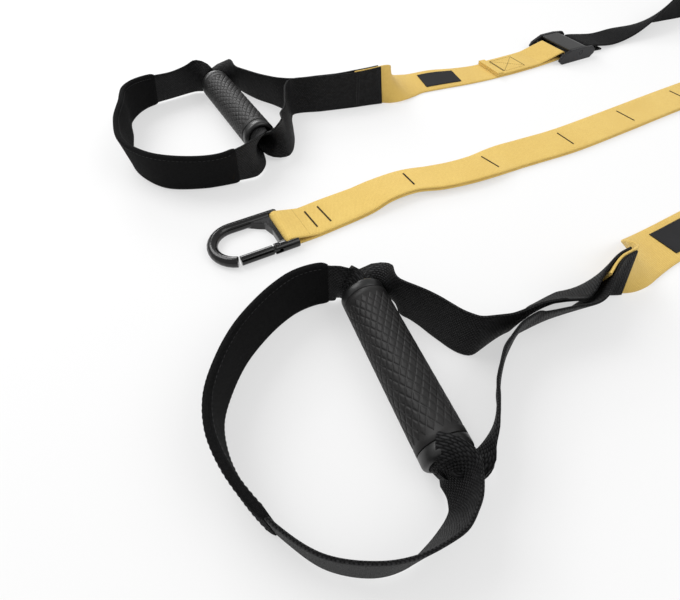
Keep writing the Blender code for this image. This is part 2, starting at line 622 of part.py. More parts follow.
# Carabiner
def make_carabiner(gloss, steel):
    half = CARABINER_WIDTH / 2
    middle = half - ROD_DIAMETER / 2
    centre = (-CARABINER_REACH + half, 0)
    height = ROD_DIAMETER / 2
    nose = radians(NOSE_ANGLE)
    nose_end = centre[0] + middle * cos(nose) - ROD_DIAMETER / 2 * cos(nose) + GAP
    hinge = nose_end + GATE_LENGTH + GATE_DIAMETER / 2
    tongue_half = GATE_DIAMETER / 3
    side = middle * sin(nose)
    path = [(TAIL_REACH - ROD_DIAMETER, middle), (centre[0] / 2, middle)]
    path += arc(centre, middle, 90, NOSE_ANGLE, 3 * CORNER_STEPS)
    frame = bent_rod("carabiner_frame", path, ROD_DIAMETER, height, gloss)
    fifth = CARABINER_WIDTH / 5
    edge = CROSSBAR_WIDTH / 2
    gusset = [(-2 * fifth, half - GAP), (-2 * fifth, middle), (-fifth, middle - fifth * 0.7),
              (-fifth / 2, middle - fifth), (-edge, middle - 2 * fifth), (-edge, side), (edge, side),
              (edge, slot_half), (TAIL_REACH - edge, slot_half), (TAIL_REACH - edge, half - edge),
              (TAIL_REACH - 2 * edge, half - GAP)]
    combine(frame, prism("gusset_join", gusset, 0, PLATE_THICKNESS, gloss), "UNION")
    rail_start = hinge - GATE_PIN_DIAMETER / 2 - GAP - LUG_WALL
    rail = rod("rail_join", ROD_DIAMETER, TAIL_REACH - rail_start, gloss,
               ((TAIL_REACH + rail_start) / 2, side, height), "X")
    combine(frame, rail, "UNION")
    channel = prism("channel_cutter", [(edge, -slot_half), (TAIL_REACH + OVERRUN, -slot_half),
                                       (TAIL_REACH + OVERRUN, slot_half), (edge, slot_half)],
                    -OVERRUN, ROD_DIAMETER + OVERRUN, gloss)
    combine(frame, channel)
    bar = rod("outer_bar_join", OUTER_BAR_DIAMETER, 2 * middle, gloss, (outer_bar_along, 0, outer_bar_height))
    combine(frame, bar, "UNION")
    seat(frame, (outer_bar_along, 0, outer_bar_height))
    tongue_end = hinge + tongue_half + GAP
    tongue_gap = prism("tongue_cutter", [(rail_start - OVERRUN, side - ROD_DIAMETER),
                                         (tongue_end, side - ROD_DIAMETER), (tongue_end, side + ROD_DIAMETER),
                                         (rail_start - OVERRUN, side + ROD_DIAMETER)],
                       height - GATE_TONGUE / 2 - GAP, height + GATE_TONGUE / 2 + GAP, gloss)
    combine(frame, tongue_gap)
    pin_place = (hinge, side, height)
    combine(frame, rod("gate_pin_cutter", GATE_PIN_DIAMETER + 2 * GAP, ROD_DIAMETER + OVERRUN, gloss, pin_place, "Z"))
    rod("gate_pin", GATE_PIN_DIAMETER, ROD_DIAMETER - 2 * GAP, steel, pin_place, "Z")
    gate = rod("carabiner_gate", GATE_DIAMETER, GATE_LENGTH - 2 * GAP, gloss, pin_place, "X")
    for vert in gate.data.vertices:
        vert.co.x -= GATE_DIAMETER / 2 + GATE_LENGTH / 2
    outline = [(-GATE_DIAMETER, -tongue_half), *arc((0, 0), tongue_half, -90, 90, 2 * CORNER_STEPS),
               (-GATE_DIAMETER, tongue_half)]
    tongue = prism("gate_tongue_join", outline, -GATE_TONGUE / 2, GATE_TONGUE / 2, gloss, pin_place)
    combine(gate, tongue, "UNION")
    combine(gate, rod("gate_bore_cutter", GATE_PIN_DIAMETER + 2 * GAP, ROD_DIAMETER, gloss, pin_place, "Z"))


# Anchor strap, a loop of two layers, and the link at its end
def make_anchor(yellow):
    radius = OUTER_BAR_DIAMETER / 2 + GAP + WEBBING_THICKNESS / 2
    far_radius = LINK_ROD / 2 + GAP + WEBBING_THICKNESS / 2
    path = [(outer_bar_along + a * TACK_PITCH, b * WEBBING_WIDTH, roll, 0, 0) for a, b, roll in ANCHOR_SHARES]
    start = around_bar(outer_bar_along, 0, outer_bar_height, radius, 90, 270)
    end = around_bar(link_bar_along, 0, link_height, far_radius, -90, 90)
    there = settled(smooth_rows(np.vstack([start[-1:], lying(path), end[:1]])))
    face = np.cross(there[:, 7:10], there[:, 3:6])
    back = there.copy()
    near_bar = (outer_bar_along, outer_bar_along + TACK_PITCH / 4)
    near_link = (link_bar_along - TACK_PITCH / 3, link_bar_along)
    spread = np.interp(there[:, 0], (*near_bar, *near_link), (2 * radius, layer, layer, 2 * far_radius))
    back[:, :3] += face * spread[:, None]
    rows = with_headings(np.vstack([there[:, :7], end[1:-1], back[::-1, :7], start[1:-1]]), closed=True)
    ribbon("anchor_strap", rows, yellow, steps=2, closed=True)


def make_link(steel):
    half = WEBBING_WIDTH / 2 + 2 * GAP + LINK_ROD / 2
    outline = rounded((link_bar_along, -half - LINK_CORNER), (link_far_bar_along, half + LINK_CORNER), LINK_CORNER)
    link = bent_rod("link", outline, LINK_ROD, link_height, steel, closed=True)
    seat(link, (link_bar_along, 0, link_height))


# Upper strap: from the far buckle out, round and through the link, out again and back to the near buckle
def make_upper(webbing):
    far, near = LEGS
    link_radius = LINK_ROD / 2 + GAP + WEBBING_THICKNESS / 2
    rear = far.buckle[0] + rear_bar_offset
    near_rear = near.buckle[0] + rear_bar_offset
    fold = np.array([[rear + TAIL_FOLD, far.buckle[1], WEBBING_THICKNESS / 2, 0, 1, 0, 0]])
    near_fold = np.array([[near_rear + TAIL_FOLD, near.buckle[1], WEBBING_THICKNESS / 2, 0, 1, 0, 0]])
    out = [(link_far_bar_along + a * UPPER_REACH, b * far.buckle[1], -roll, 0, layer if b == 1 else 0)
           for a, b, roll in UPPER_SHARES]
    home = [(link_far_bar_along + a * UPPER_REACH, b * near.buckle[1], roll - 180, 0, layer if b == 1 else 0)
            for a, b, roll in UPPER_SHARES[::-1]]
    first = around_bar(rear, far.buckle[1], buckle_bar_height, bar_wrap, 270, 90)
    link_bend = around_bar(link_far_bar_along, 0, link_height, link_radius, 90, 270)
    last = around_bar(near_rear, near.buckle[1], buckle_bar_height, bar_wrap, 90, 270)
    out_rows = lying(out)
    home_rows = lying(home)
    out_rows[-2:, 2] = link_height + link_radius
    rows = smooth_rows(np.vstack([fold, first, out_rows, link_bend, home_rows, last, near_fold]))
    seat(ribbon("upper_strap", settled(rows), webbing, steps=2), (link_far_bar_along, 0, link_height))


# Assembly
for old in list(bpy.data.objects):
    bpy.data.objects.remove(old, do_unlink=True)

black_webbing = material("black_webbing", (0.012, 0.012, 0.013), 0.85)
pad_fabric = material("pad_fabric", (0.010, 0.010, 0.010), 0.95)
yellow_webbing = material("yellow_webbing", (0.80, 0.56, 0.14), 0.80)
grip_rubber = material("grip_rubber", (0.020, 0.019, 0.019), 0.55)
black_plastic = material("black_plastic", (0.018, 0.018, 0.018), 0.35)
gloss_black = material("gloss_black", (0.010, 0.010, 0.011), 0.15)
dark_metal = material("dark_metal", (0.030, 0.030, 0.032), 0.35, 0.6)

for each in LEGS:
    make_cradle(each, black_webbing, pad_fabric)
    make_triangle(each, black_webbing)
    make_strap(each, yellow_webbing, black_plastic)
    make_grip(each, grip_rubber, black_plastic)
    make_buckle(each, dark_metal, black_plastic)
make_carabiner(gloss_black, dark_metal)
make_anchor(yellow_webbing)
make_link(dark_metal)
make_upper(black_webbing)
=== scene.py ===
# Suspension trainer lying on a studio floor: webbing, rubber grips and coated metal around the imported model.
from math import cos, pi, radians, sin, tau
import bpy
import bmesh
import numpy as np
from mathutils import Matrix, Vector


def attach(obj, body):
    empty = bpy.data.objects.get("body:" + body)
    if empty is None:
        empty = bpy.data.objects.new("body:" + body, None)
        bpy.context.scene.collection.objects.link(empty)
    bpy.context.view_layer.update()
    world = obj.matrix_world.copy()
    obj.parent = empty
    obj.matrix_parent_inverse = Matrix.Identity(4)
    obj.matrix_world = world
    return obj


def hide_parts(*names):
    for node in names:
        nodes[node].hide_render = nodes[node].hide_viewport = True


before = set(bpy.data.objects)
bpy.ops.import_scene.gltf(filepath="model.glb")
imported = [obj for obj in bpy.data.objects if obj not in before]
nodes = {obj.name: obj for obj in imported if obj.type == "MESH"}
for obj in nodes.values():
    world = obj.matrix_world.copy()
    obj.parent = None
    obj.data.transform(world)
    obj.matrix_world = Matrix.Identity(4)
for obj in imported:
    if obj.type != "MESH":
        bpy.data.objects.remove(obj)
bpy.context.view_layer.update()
print("frame loaded,", len(nodes), "nodes")

scene = bpy.context.scene
studio = {
    "eye": (-0.0912, -0.2832, 0.2644), "pitchDown": 49.744, "heading": 28.0,
    "focalPixels": 480, "imageWidth": 680, "sensorWidth": 36,
    "floorSize": 6.0, "floorDrop": -0.0003, "floorColour": (0.86, 0.86, 0.86), "whiteShare": 0.55,
    "worldColour": (1.0, 1.0, 1.0), "worldStrength": 0.55,
}


# Shader helpers and shared effects
class Nodes:
    def __init__(self, tree):
        self.tree = tree
        self.column = 0

    def add(self, kind, inputs=(), **settings):
        made = self.tree.nodes.new(kind)
        made.location = (self.column * 40, -(self.column % 7) * 120)
        self.column += 1
        for key, value in settings.items():
            setattr(made, key, value)
        for key, value in dict(inputs).items():
            self.put(made.inputs[key], value)
        return made

    def put(self, socket, value):
        if isinstance(value, bpy.types.NodeSocket):
            self.tree.links.new(value, socket)
        else:
            socket.default_value = value

    def math(self, operation, first, second=0.0, third=0.0):
        made = self.add("ShaderNodeMath", {0: first, 1: second, 2: third}, operation=operation)
        return made.outputs[0]


def shaderGroup(name, inputs, outputs):
    tree = bpy.data.node_groups.new(name, "ShaderNodeTree")
    for label, value in inputs.items():
        kind = "NodeSocketVector" if isinstance(value, tuple) else "NodeSocketFloat"
        socket = tree.interface.new_socket(label, in_out="INPUT", socket_type=kind)
        socket.default_value = value
    for label in outputs:
        tree.interface.new_socket(label, in_out="OUTPUT", socket_type="NodeSocketFloat")
    kit = Nodes(tree)
    return tree, kit, kit.add("NodeGroupInput").outputs, kit.add("NodeGroupOutput")


def weaveGroup():
    # Yarns of a webbing: u runs along the strap and v across it, both in metres
    tree, kit, given, out = shaderGroup(
        "webbingWeave", {"UV": (0, 0, 0), "Along": 0.0016, "Across": 0.0012, "Slant": 0.5},
        ["Height", "Yarn", "Column"])
    split = kit.add("ShaderNodeSeparateXYZ", {0: given["UV"]})
    v = kit.math("DIVIDE", split.outputs["Y"], given["Across"])
    column = kit.math("FLOOR", v)
    shifted = kit.math("MULTIPLY", column, given["Slant"])
    u = kit.math("ADD", kit.math("DIVIDE", split.outputs["X"], given["Along"]), shifted)
    alongWave = kit.math("ABSOLUTE", kit.math("SINE", kit.math("MULTIPLY", u, pi)))
    acrossWave = kit.math("ABSOLUTE", kit.math("SINE", kit.math("MULTIPLY", v, pi)))
    height = kit.math("MULTIPLY", kit.math("POWER", alongWave, 0.6), kit.math("POWER", acrossWave, 0.5))
    speck = kit.add("ShaderNodeTexWhiteNoise", noise_dimensions="2D")
    cell = kit.add("ShaderNodeCombineXYZ", {0: kit.math("FLOOR", u), 1: column})
    kit.put(speck.inputs["Vector"], cell.outputs[0])
    kit.put(out.inputs["Height"], height)
    kit.put(out.inputs["Yarn"], speck.outputs["Value"])
    kit.put(out.inputs["Column"], kit.math("FRACT", kit.math("MULTIPLY", column, 0.5)))
    return tree


def grainGroup():
    # Fine moulded grain and broad wear, on object coordinates
    tree, kit, given, out = shaderGroup(
        "surfaceGrain", {"Vector": (0, 0, 0), "Fine": 2500.0, "Broad": 60.0}, ["Grain", "Wear"])
    fine = kit.add("ShaderNodeTexNoise", {"Vector": given["Vector"], "Scale": given["Fine"], "Detail": 2.0})
    broad = kit.add("ShaderNodeTexNoise", {"Vector": given["Vector"], "Scale": given["Broad"], "Detail": 4.0})
    kit.put(out.inputs["Grain"], fine.outputs["Fac"])
    kit.put(out.inputs["Wear"], broad.outputs["Fac"])
    return tree


weave = weaveGroup()
grain = grainGroup()


def startMaterial(name):
    made = bpy.data.materials.new(name)
    made.use_nodes = True
    kit = Nodes(made.node_tree)
    return made, kit, made.node_tree.nodes["Principled BSDF"]


def finishLook(kit, shader, look, tone, wear, height):
    # Colour from the tone, roughness from the wear and relief from the height
    ramp = kit.add("ShaderNodeValToRGB", {"Fac": tone})
    for end, place, colour in zip(ramp.color_ramp.elements, look["toneRange"], (look["dark"], look["light"])):
        end.position, end.color = place, (*colour, 1)
    kit.put(shader.inputs["Base Color"], ramp.outputs["Color"])
    rough = kit.math("MULTIPLY_ADD", wear, look["roughSpread"], look["roughness"])
    kit.put(shader.inputs["Roughness"], rough)
    bump = kit.add("ShaderNodeBump", {"Height": height, "Distance": look["depth"], "Strength": look["bumpStrength"]})
    kit.put(shader.inputs["Normal"], bump.outputs["Normal"])
    shader.inputs["Specular IOR Level"].default_value = look["specular"]


def webbingMaterial(look):
    made, kit, shader = startMaterial(look["name"])
    uv = kit.add("ShaderNodeUVMap", uv_map="strap").outputs["UV"]
    yarns = kit.add("ShaderNodeGroup", node_tree=weave)
    kit.put(yarns.inputs["UV"], uv)
    for label in ("Along", "Across", "Slant"):
        yarns.inputs[label].default_value = look[label]
    place = kit.add("ShaderNodeTexCoord").outputs["Object"]
    cloud = kit.add("ShaderNodeTexNoise", {"Vector": place, "Scale": look["cloudScale"], "Detail": 3.0})
    # The colour mixes a random tone per yarn and a broad cloud with painted light from the weave's height: painted
    # shade in the gaps between yarns and a painted highlight on the yarn tops.
    tone = kit.math("MULTIPLY_ADD", yarns.outputs["Yarn"], look["yarnShare"],
                    kit.math("MULTIPLY", yarns.outputs["Height"], look["paintedReliefLightShare"]))
    tone = kit.math("MULTIPLY_ADD", cloud.outputs["Fac"], look["cloudShare"], tone)
    finishLook(kit, shader, look, tone, yarns.outputs["Height"], yarns.outputs["Height"])
    shader.inputs["Sheen Weight"].default_value = look["sheen"]
    shader.inputs["Sheen Roughness"].default_value = 0.5
    return made


def solidMaterial(look):
    made, kit, shader = startMaterial(look["name"])
    place = kit.add("ShaderNodeTexCoord").outputs["Object"]
    texture = kit.add("ShaderNodeGroup", {"Vector": place, "Fine": look["fine"], "Broad": look["broad"]},
                      node_tree=grain)
    finishLook(kit, shader, look, texture.outputs["Wear"], texture.outputs["Wear"], texture.outputs["Grain"])
    shader.inputs["Metallic"].default_value = look["metallic"]
    shader.inputs["Coat Weight"].default_value = look["coat"]
    shader.inputs["Coat Roughness"].default_value = 0.06
    return made


# In each webbing look, the share of the weave's height in the colour is painted light: painted shade in the gaps
# between yarns and a painted highlight on the yarn tops.
yellowLook = {
    "name": "yellowWebbing", "Along": 0.0013, "Across": 0.0011, "Slant": 0.5, "cloudScale": 25.0,
    "yarnShare": 0.10, "paintedReliefLightShare": 0.55, "cloudShare": 0.30, "toneRange": (0.05, 0.85),
    "dark": (0.56, 0.33, 0.055), "light": (0.86, 0.62, 0.17), "roughness": 0.85, "roughSpread": -0.20,
    "depth": 0.0003, "bumpStrength": 0.6, "sheen": 0.15, "specular": 0.3,
}
anchorLook = dict(yellowLook, name="anchorWebbing", dark=(0.60, 0.36, 0.06), light=(0.90, 0.66, 0.19))
# The black webbing's light tone, reached on the yarn tops, is a painted highlight standing in for the glints of its
# yarns.
blackLook = {
    "name": "blackWebbing", "Along": 0.0019, "Across": 0.0015, "Slant": 0.5, "cloudScale": 30.0,
    "yarnShare": 0.35, "paintedReliefLightShare": 0.65, "cloudShare": 0.10, "toneRange": (0.45, 1.05),
    "dark": (0.0022, 0.0022, 0.0024), "light": (0.020, 0.020, 0.021), "roughness": 0.80, "roughSpread": -0.28,
    "depth": 0.0005, "bumpStrength": 1.0, "sheen": 0.0, "specular": 0.17,
}
padLook = dict(blackLook, name="padFabric", Along=0.0009, Across=0.0008, dark=(0.0035, 0.0035, 0.0037),
               light=(0.011, 0.011, 0.0115), roughness=0.95, roughSpread=-0.05, depth=0.0002, specular=0.10)
trunkLook = dict(blackLook, name="trunkWebbing", Along=0.0013, Across=0.0011, roughSpread=-0.15,
                 light=(0.014, 0.014, 0.015), depth=0.0003, specular=0.12)
rubberLook = {
    "name": "gripRubber", "fine": 2600.0, "broad": 45.0, "dark": (0.010, 0.0096, 0.0096),
    "light": (0.016, 0.0153, 0.0153), "roughness": 0.42, "roughSpread": 0.22, "depth": 0.00006, "bumpStrength": 0.6,
    "metallic": 0.0, "specular": 0.35, "coat": 0.0, "toneRange": (0.35, 0.70),
}
plasticLook = dict(rubberLook, name="gripPlastic", roughness=0.30, roughSpread=0.15, depth=0.00003,
                   dark=(0.010, 0.010, 0.010), light=(0.016, 0.016, 0.016), specular=0.5)
labelLook = dict(rubberLook, name="labelPatch", fine=4000.0, roughness=0.55, dark=(0.008, 0.008, 0.009),
                 light=(0.013, 0.013, 0.015), depth=0.00008)
glossLook = dict(rubberLook, name="carabinerGloss", fine=700.0, broad=90.0, roughness=0.10, roughSpread=0.12,
                 depth=0.00002, bumpStrength=0.3, dark=(0.0025, 0.0025, 0.0025), light=(0.004, 0.004, 0.004),
                 specular=0.35, coat=0.2)
metalLook = dict(rubberLook, name="darkMetal", roughness=0.30, roughSpread=0.2, metallic=0.6,
                 dark=(0.020, 0.020, 0.022), light=(0.035, 0.035, 0.038), depth=0.00002)
darkThreadLook = dict(rubberLook, name="darkThread", fine=5000.0, roughness=0.6, dark=(0.012, 0.009, 0.006),
                      light=(0.022, 0.016, 0.010))
paleThreadLook = dict(rubberLook, name="yellowThread", fine=5000.0, roughness=0.7, dark=(0.28, 0.17, 0.03),
                      light=(0.40, 0.25, 0.06))
blackThreadLook = dict(rubberLook, name="blackThread", fine=5000.0, roughness=0.6, dark=(0.010, 0.010, 0.010),
                       light=(0.040, 0.040, 0.042))
yellow, anchorYellow, black, padCloth, trunkBlack = [
    webbingMaterial(look) for look in (yellowLook, anchorLook, blackLook, padLook, trunkLook)]
rubber, plastic, labelSkin, gloss, metal, darkThread, paleThread, blackThread = [
    solidMaterial(look) for look in (rubberLook, plasticLook, labelLook, glossLook, metalLook, darkThreadLook,
                                     paleThreadLook, blackThreadLook)]
print("materials made")

# Sizes shared by the pieces, in metres
webbing = {"width": 0.038, "thickness": 0.002, "gap": 0.0003, "rowStep": 0.002, "acrossSteps": 12, "edgeSteps": 4}
gripSize = {"length": 0.126, "diameter": 0.031, "bore": 0.0244, "wall": 0.0011, "cap": 0.0085, "rounding": 0.0030}
reach = {"loop": 0.115, "triangle": 0.0675, "padWidth": 0.041, "padWall": 0.0012, "overlap": 0.030,
         "mouthLift": 0.0012, "tubeEnd": 0.0005}
buckleSize = {"length": 0.044, "bar": 0.0050, "base": 0.0020, "returnLength": 0.100}
labelSize = {"length": 0.046, "width": 0.025, "thickness": 0.0008, "share": 0.51}
anchorSize = {"bar": 0.0048, "crossbar": 0.0038, "pitch": 0.088, "length": 0.580, "linkRod": 0.006,
              "linkOpening": 0.016}


def wrapRadius(bar):
    # From a bar's axis to the middle of the webbing that is folded round it
    return bar / 2 + webbing["gap"] + webbing["thickness"] / 2


layer = webbing["thickness"] + webbing["gap"]
sleeveSpace = webbing["thickness"] + 2 * webbing["gap"]
padThickness = sleeveSpace + 2 * reach["padWall"]
outerCurl = gripSize["bore"] / 2 - 2 * webbing["gap"] - webbing["thickness"] / 2
innerCurl = outerCurl - layer - webbing["gap"]
barHeight = layer + buckleSize["base"] + buckleSize["bar"] / 2
barWrap = wrapRadius(buckleSize["bar"])
rearOffset = buckleSize["length"] - buckleSize["bar"] / 2
outerBar = (anchorSize["crossbar"] / 2 + sleeveSpace + anchorSize["bar"] / 2, layer + anchorSize["bar"] / 2)
linkBar = outerBar[0] + anchorSize["length"]
linkHeight = layer + anchorSize["linkRod"] / 2
linkFarBar = linkBar + anchorSize["linkOpening"] + anchorSize["linkRod"]

# How the webbing lies. Cradle, the foot loop: shares of the loop's reach and of the grip's length, roll from flat
# and curl across the webbing in degrees, and at some stations its lift. Lower and upper, the triangle: the same,
# with shares of the triangle's reach. Doubled: share of the run to the buckle, foot aside in widths, rolls of the
# front and the back layer, how far their feet part. Single: share of the run, middle aside in widths, roll.
farLeg = {
    "side": "far", "grip": (0.0345, 0.1785), "turn": radians(1.5), "buckle": (0.439, 0.149),
    "joint": (-1, -0.101), "seam": 0.255, "pad": (3.6, 11.7),
    "cradle": [
        (0.095, 0.545, 100, 180), (0.105, 0.59, 92, 110), (0.155, 0.628, 75, 30), (0.36, 0.612, 65, 0),
        (0.64, 0.583, 70, 0), (0.83, 0.437, 80, 0), (0.91, 0.193, 88, 0), (0.99, -0.06, 95, 0),
        (1, -0.338, 101, 0), (0.87, -0.588, 102, 0), (0.625, -0.735, 107, 0), (0.435, -0.785, 108, 0),
        (0.28, -0.788, 100, 0), (0.19, -0.752, 92, 40), (0.125, -0.665, 95, 110), (0.095, -0.55, 102, 180)],
    "lower": [
        (-0.85, -0.09, 92, 0), (-0.74, -0.15, 95, 0), (-0.61, -0.3, 98, 0), (-0.49, -0.445, 100, 0),
        (-0.36, -0.545, 105, 0), (-0.25, -0.59, 98, -70), (-0.17, -0.58, 88, -170), (-0.13, -0.535, 78, -240)],
    "upper": [
        (-0.13, 0.525, 78, -240), (-0.2, 0.54, 85, -190), (-0.28, 0.5, 98, -90), (-0.36, 0.42, 108, -20),
        (-0.495, 0.267, 107, 0), (-0.635, 0.13, 106, 0), (-0.76, 0.005, 100, 0), (-0.89, -0.078, 92, 0)],
    "doubled": [
        (0.05, -0.145, 90, 90, 0), (0.107, -0.276, 90, 90, 0), (0.163, -0.368, 90, 90, 0),
        (0.226, -0.5, 84, 84, 0), (0.27, -0.64, 72, 72, 0)],
    "single": [(0.312, -0.46, 45), (0.356, -0.3, 20), (0.407, -0.184, 8), (0.496, -0.263, 7), (0.585, -0.38, 3),
               (0.68, -0.46, 0), (0.76, -0.487, 0), (0.86, -0.487, 0)],
}
nearLeg = {
    "side": "near", "grip": (0.01535, -0.1605), "turn": radians(-7.65), "buckle": (0.459, -0.15),
    "joint": (-1.41, 0.066), "seam": 0.25, "pad": (3.4, 14.7), "cradleTube": (106, 105),
    "cradle": [
        (0.095, 0.512, 102, 180, 0.003), (0.104, 0.532, 96, 120), (0.122, 0.555, 90, 40), (0.149, 0.58, 86, 0),
        (0.205, 0.6, 88, 0), (0.277, 0.606, 89, 0), (0.387, 0.591, 90, 0), (0.5, 0.545, 90, 0),
        (0.625, 0.47, 90, 0), (0.765, 0.357, 90, 0), (0.885, 0.21, 90, 0), (0.965, 0.06, 90, 0),
        (0.985, -0.094, 92, 0), (0.96, -0.242, 93, 0), (0.9, -0.395, 94, 0), (0.81, -0.544, 95, 0),
        (0.68, -0.687, 94, 0), (0.495, -0.776, 93, 0), (0.35, -0.795, 96, 0), (0.24, -0.778, 101, 0),
        (0.15, -0.752, 105, 0), (0.08, -0.722, 104, -15), (0.028, -0.69, 104, -30), (-0.002, -0.64, 106, -30),
        (0, -0.59, 107, 0), (0.03, -0.55, 107, 70, 0.001), (0.075, -0.52, 106, 160, 0.003)],
    "lower": [
        (-1.37, -0.012, 72, 0), (-1.314, -0.012, 75, 0), (-1.183, -0.039, 80, 0), (-1.083, -0.071, 86, 0),
        (-0.998, -0.106, 90, 0), (-0.919, -0.14, 93, 0), (-0.851, -0.175, 97, 0), (-0.735, -0.246, 100, 0),
        (-0.642, -0.317, 104, 0), (-0.556, -0.385, 102, 0), (-0.48, -0.432, 99, 0), (-0.407, -0.465, 97, -15),
        (-0.335, -0.487, 97, -65), (-0.255, -0.504, 94, -130), (-0.18, -0.512, 84, -200), (-0.135, -0.509, 78, -240)],
    "upper": [
        (-0.13, 0.508, 78, -240), (-0.165, 0.508, 84, -215), (-0.215, 0.48, 90, -160), (-0.262, 0.43, 98, -80),
        (-0.3, 0.392, 98, -20), (-0.345, 0.36, 95, 0), (-0.403, 0.319, 94, 0), (-0.474, 0.26, 91, 0),
        (-0.537, 0.196, 88, 0), (-0.592, 0.137, 87, 0), (-0.648, 0.08, 86, 0), (-0.71, 0.037, 85, 0),
        (-0.777, 0.01, 86, 0), (-0.907, 0.007, 93, 0), (-1.062, 0.012, 101, 0), (-1.194, 0.022, 104, 0),
        (-1.329, 0.032, 105, 0)],
    "doubled": [
        (0.05, 0.09, 116, 125, 0.011), (0.11, 0.08, 119, 135, 0.014), (0.165, 0.03, 106, 112, 0.005),
        (0.21, -0.1, 90, 90, 0), (0.255, -0.3, 72, 72, 0)],
    "single": [(0.3, -0.05, 45), (0.345, 0.1, 20), (0.4, 0.2, 5), (0.5, 0.26, 0), (0.6, 0.3, 0),
               (0.68, 0.33, 0), (0.76, 0.37, 0), (0.86, 0.39, 0)],
}
anchorLie = [  # pitches from the bar, aside in widths, roll
    (0.25, 0, 0), (0.57, 0.053, 0), (0.85, 0.08, -3), (1.08, 0.14, -8), (1.42, 0.145, -8),
    (1.7, -0.016, -6), (1.97, -0.13, -6), (2.26, -0.168, -5), (2.57, -0.11, 0), (2.89, -0.145, 0),
    (3.4, -0.21, 0), (4.2, -0.16, 0), (5, -0.08, 0), (5.8, -0.02, 0), (6.35, 0, 0),
]
upperLie = {
    "reach": 0.28, "tail": 0.03,
    "half": [
        (-0.28, 1, 0), (-0.16, 1, 6), (-0.02, 1.01, 30), (0.16, 1.03, 70), (0.34, 1.04, 90), (0.52, 1.05, 90),
        (0.7, 1.03, 90), (0.84, 0.96, 90), (0.95, 0.8, 90), (0.985, 0.61, 90), (0.95, 0.42, 90), (0.84, 0.26, 90),
        (0.7, 0.18, 90), (0.56, 0.14, 90), (0.42, 0.1, 115), (0.28, 0.05, 150), (0.16, 0.01, 174),
        (0.1, 0, 180)],
}
for leg in (farLeg, nearLeg):
    turn = leg["turn"]
    leg["middle"] = np.array(leg["grip"])
    leg["up"] = np.array([-sin(turn), cos(turn)])
    leg["left"] = np.array([-cos(turn), -sin(turn)])
    leg["knot"] = (leg["middle"] + leg["left"] * leg["joint"][0] * reach["triangle"]
                   + leg["up"] * leg["joint"][1] * gripSize["length"])
    leg["run"] = leg["buckle"][0] - leg["knot"][0]
    leg["seamAt"] = leg["knot"][0] + leg["seam"] * leg["run"]


# Routes: rows of (place, width direction, curl), later with the heading too
def unitRows(vectors):
    return vectors / np.linalg.norm(vectors, axis=1)[:, None]


def headings(places, closed=False):
    if closed:
        return unitRows(np.roll(places, -1, 0) - np.roll(places, 1, 0))
    return unitRows(np.gradient(places, axis=0))


def runOf(places):
    return np.r_[0, np.cumsum(np.linalg.norm(np.diff(places, axis=0), axis=1))]


def smoothRows(rows, closed=False, step=webbing["rowStep"]):
    # A centripetal Catmull-Rom curve through the rows, resampled evenly
    given = np.asarray(rows, float)
    if closed:
        given = np.vstack([given[-1], given, given[:2]])
    else:
        given = np.vstack([2 * given[0] - given[1], given, 2 * given[-1] - given[-2]])
    parts = []
    for a, b, c, d in zip(given, given[1:], given[2:], given[3:]):
        t1 = np.linalg.norm((b - a)[:3]) ** 0.5
        t2 = t1 + np.linalg.norm((c - b)[:3]) ** 0.5
        t3 = t2 + np.linalg.norm((d - c)[:3]) ** 0.5
        t = np.linspace(t1, t2, 48, endpoint=False)[:, None]
        ab = ((t1 - t) * a + t * b) / t1
        bc = ((t2 - t) * b + (t - t1) * c) / (t2 - t1)
        cd = ((t3 - t) * c + (t - t2) * d) / (t3 - t2)
        abc = ((t2 - t) * ab + t * bc) / t2
        bcd = ((t3 - t) * bc + (t - t1) * cd) / (t3 - t1)
        parts.append(((t2 - t) * abc + (t - t1) * bcd) / (t2 - t1))
    fine = np.vstack(parts + [parts[0][:1] if closed else given[-2:-1]])
    run = runOf(fine[:, :3])
    at = np.linspace(0, run[-1], round(run[-1] / step) + 1)
    even = np.stack([np.interp(at, run, column) for column in fine.T], axis=1)
    return even[:-1] if closed else even


def outline(width, thickness):
    # The webbing's section: (across, through) once round, with rounded edges
    half, radius = width / 2, thickness / 2
    flat = np.linspace(-half + radius, half - radius, webbing["acrossSteps"] + 1)
    bend = np.linspace(-pi / 2, pi / 2, webbing["edgeSteps"] + 1)[1:-1]
    under = [(a, -radius) for a in flat]
    right = [(half - radius + radius * cos(b), radius * sin(b)) for b in bend]
    over = [(a, radius) for a in flat[::-1]]
    return np.array(under + right + over + [(-a, -t) for a, t in right])


def sectionSpots(section, width, curls):
    # Each section bent to an arc: its corners along the width and along the face, one line for each row
    across, through = section[:, 0], section[:, 1]
    angle = np.outer(curls, across / width)
    safe = np.where(abs(angle) < 1e-6, 1e-6, angle)
    along = across * np.sin(safe) / safe - through * np.sin(angle)
    rise = across * (1 - np.cos(safe)) / safe + through * np.cos(angle)
    return along, rise


def bodyOf(rows, section, width, shift=0.0):
    places, curls, along = rows[:, :3], rows[:, 6], rows[:, 7:10]
    wide = unitRows(rows[:, 3:6] - (rows[:, 3:6] * along).sum(1)[:, None] * along)
    face = np.cross(along, wide)
    sideways, rise = sectionSpots(section, width, curls)
    return (places[:, None] + sideways[:, :, None] * wide[:, None] + (rise + shift)[:, :, None] * face[:, None])


def withHeadings(rows, closed=False):
    return np.hstack([rows[:, :7], headings(rows[:, :3], closed)])


def settled(rows, width=webbing["width"], thickness=webbing["thickness"], closed=False):
    # Raised wherever a webbing of this size would dip below the floor
    raised = withHeadings(rows, closed)
    lowest = bodyOf(raised, outline(width, thickness), width)[:, :, 2].min(axis=1)
    raised[:, 2] += np.maximum(0.0, -lowest)
    return raised


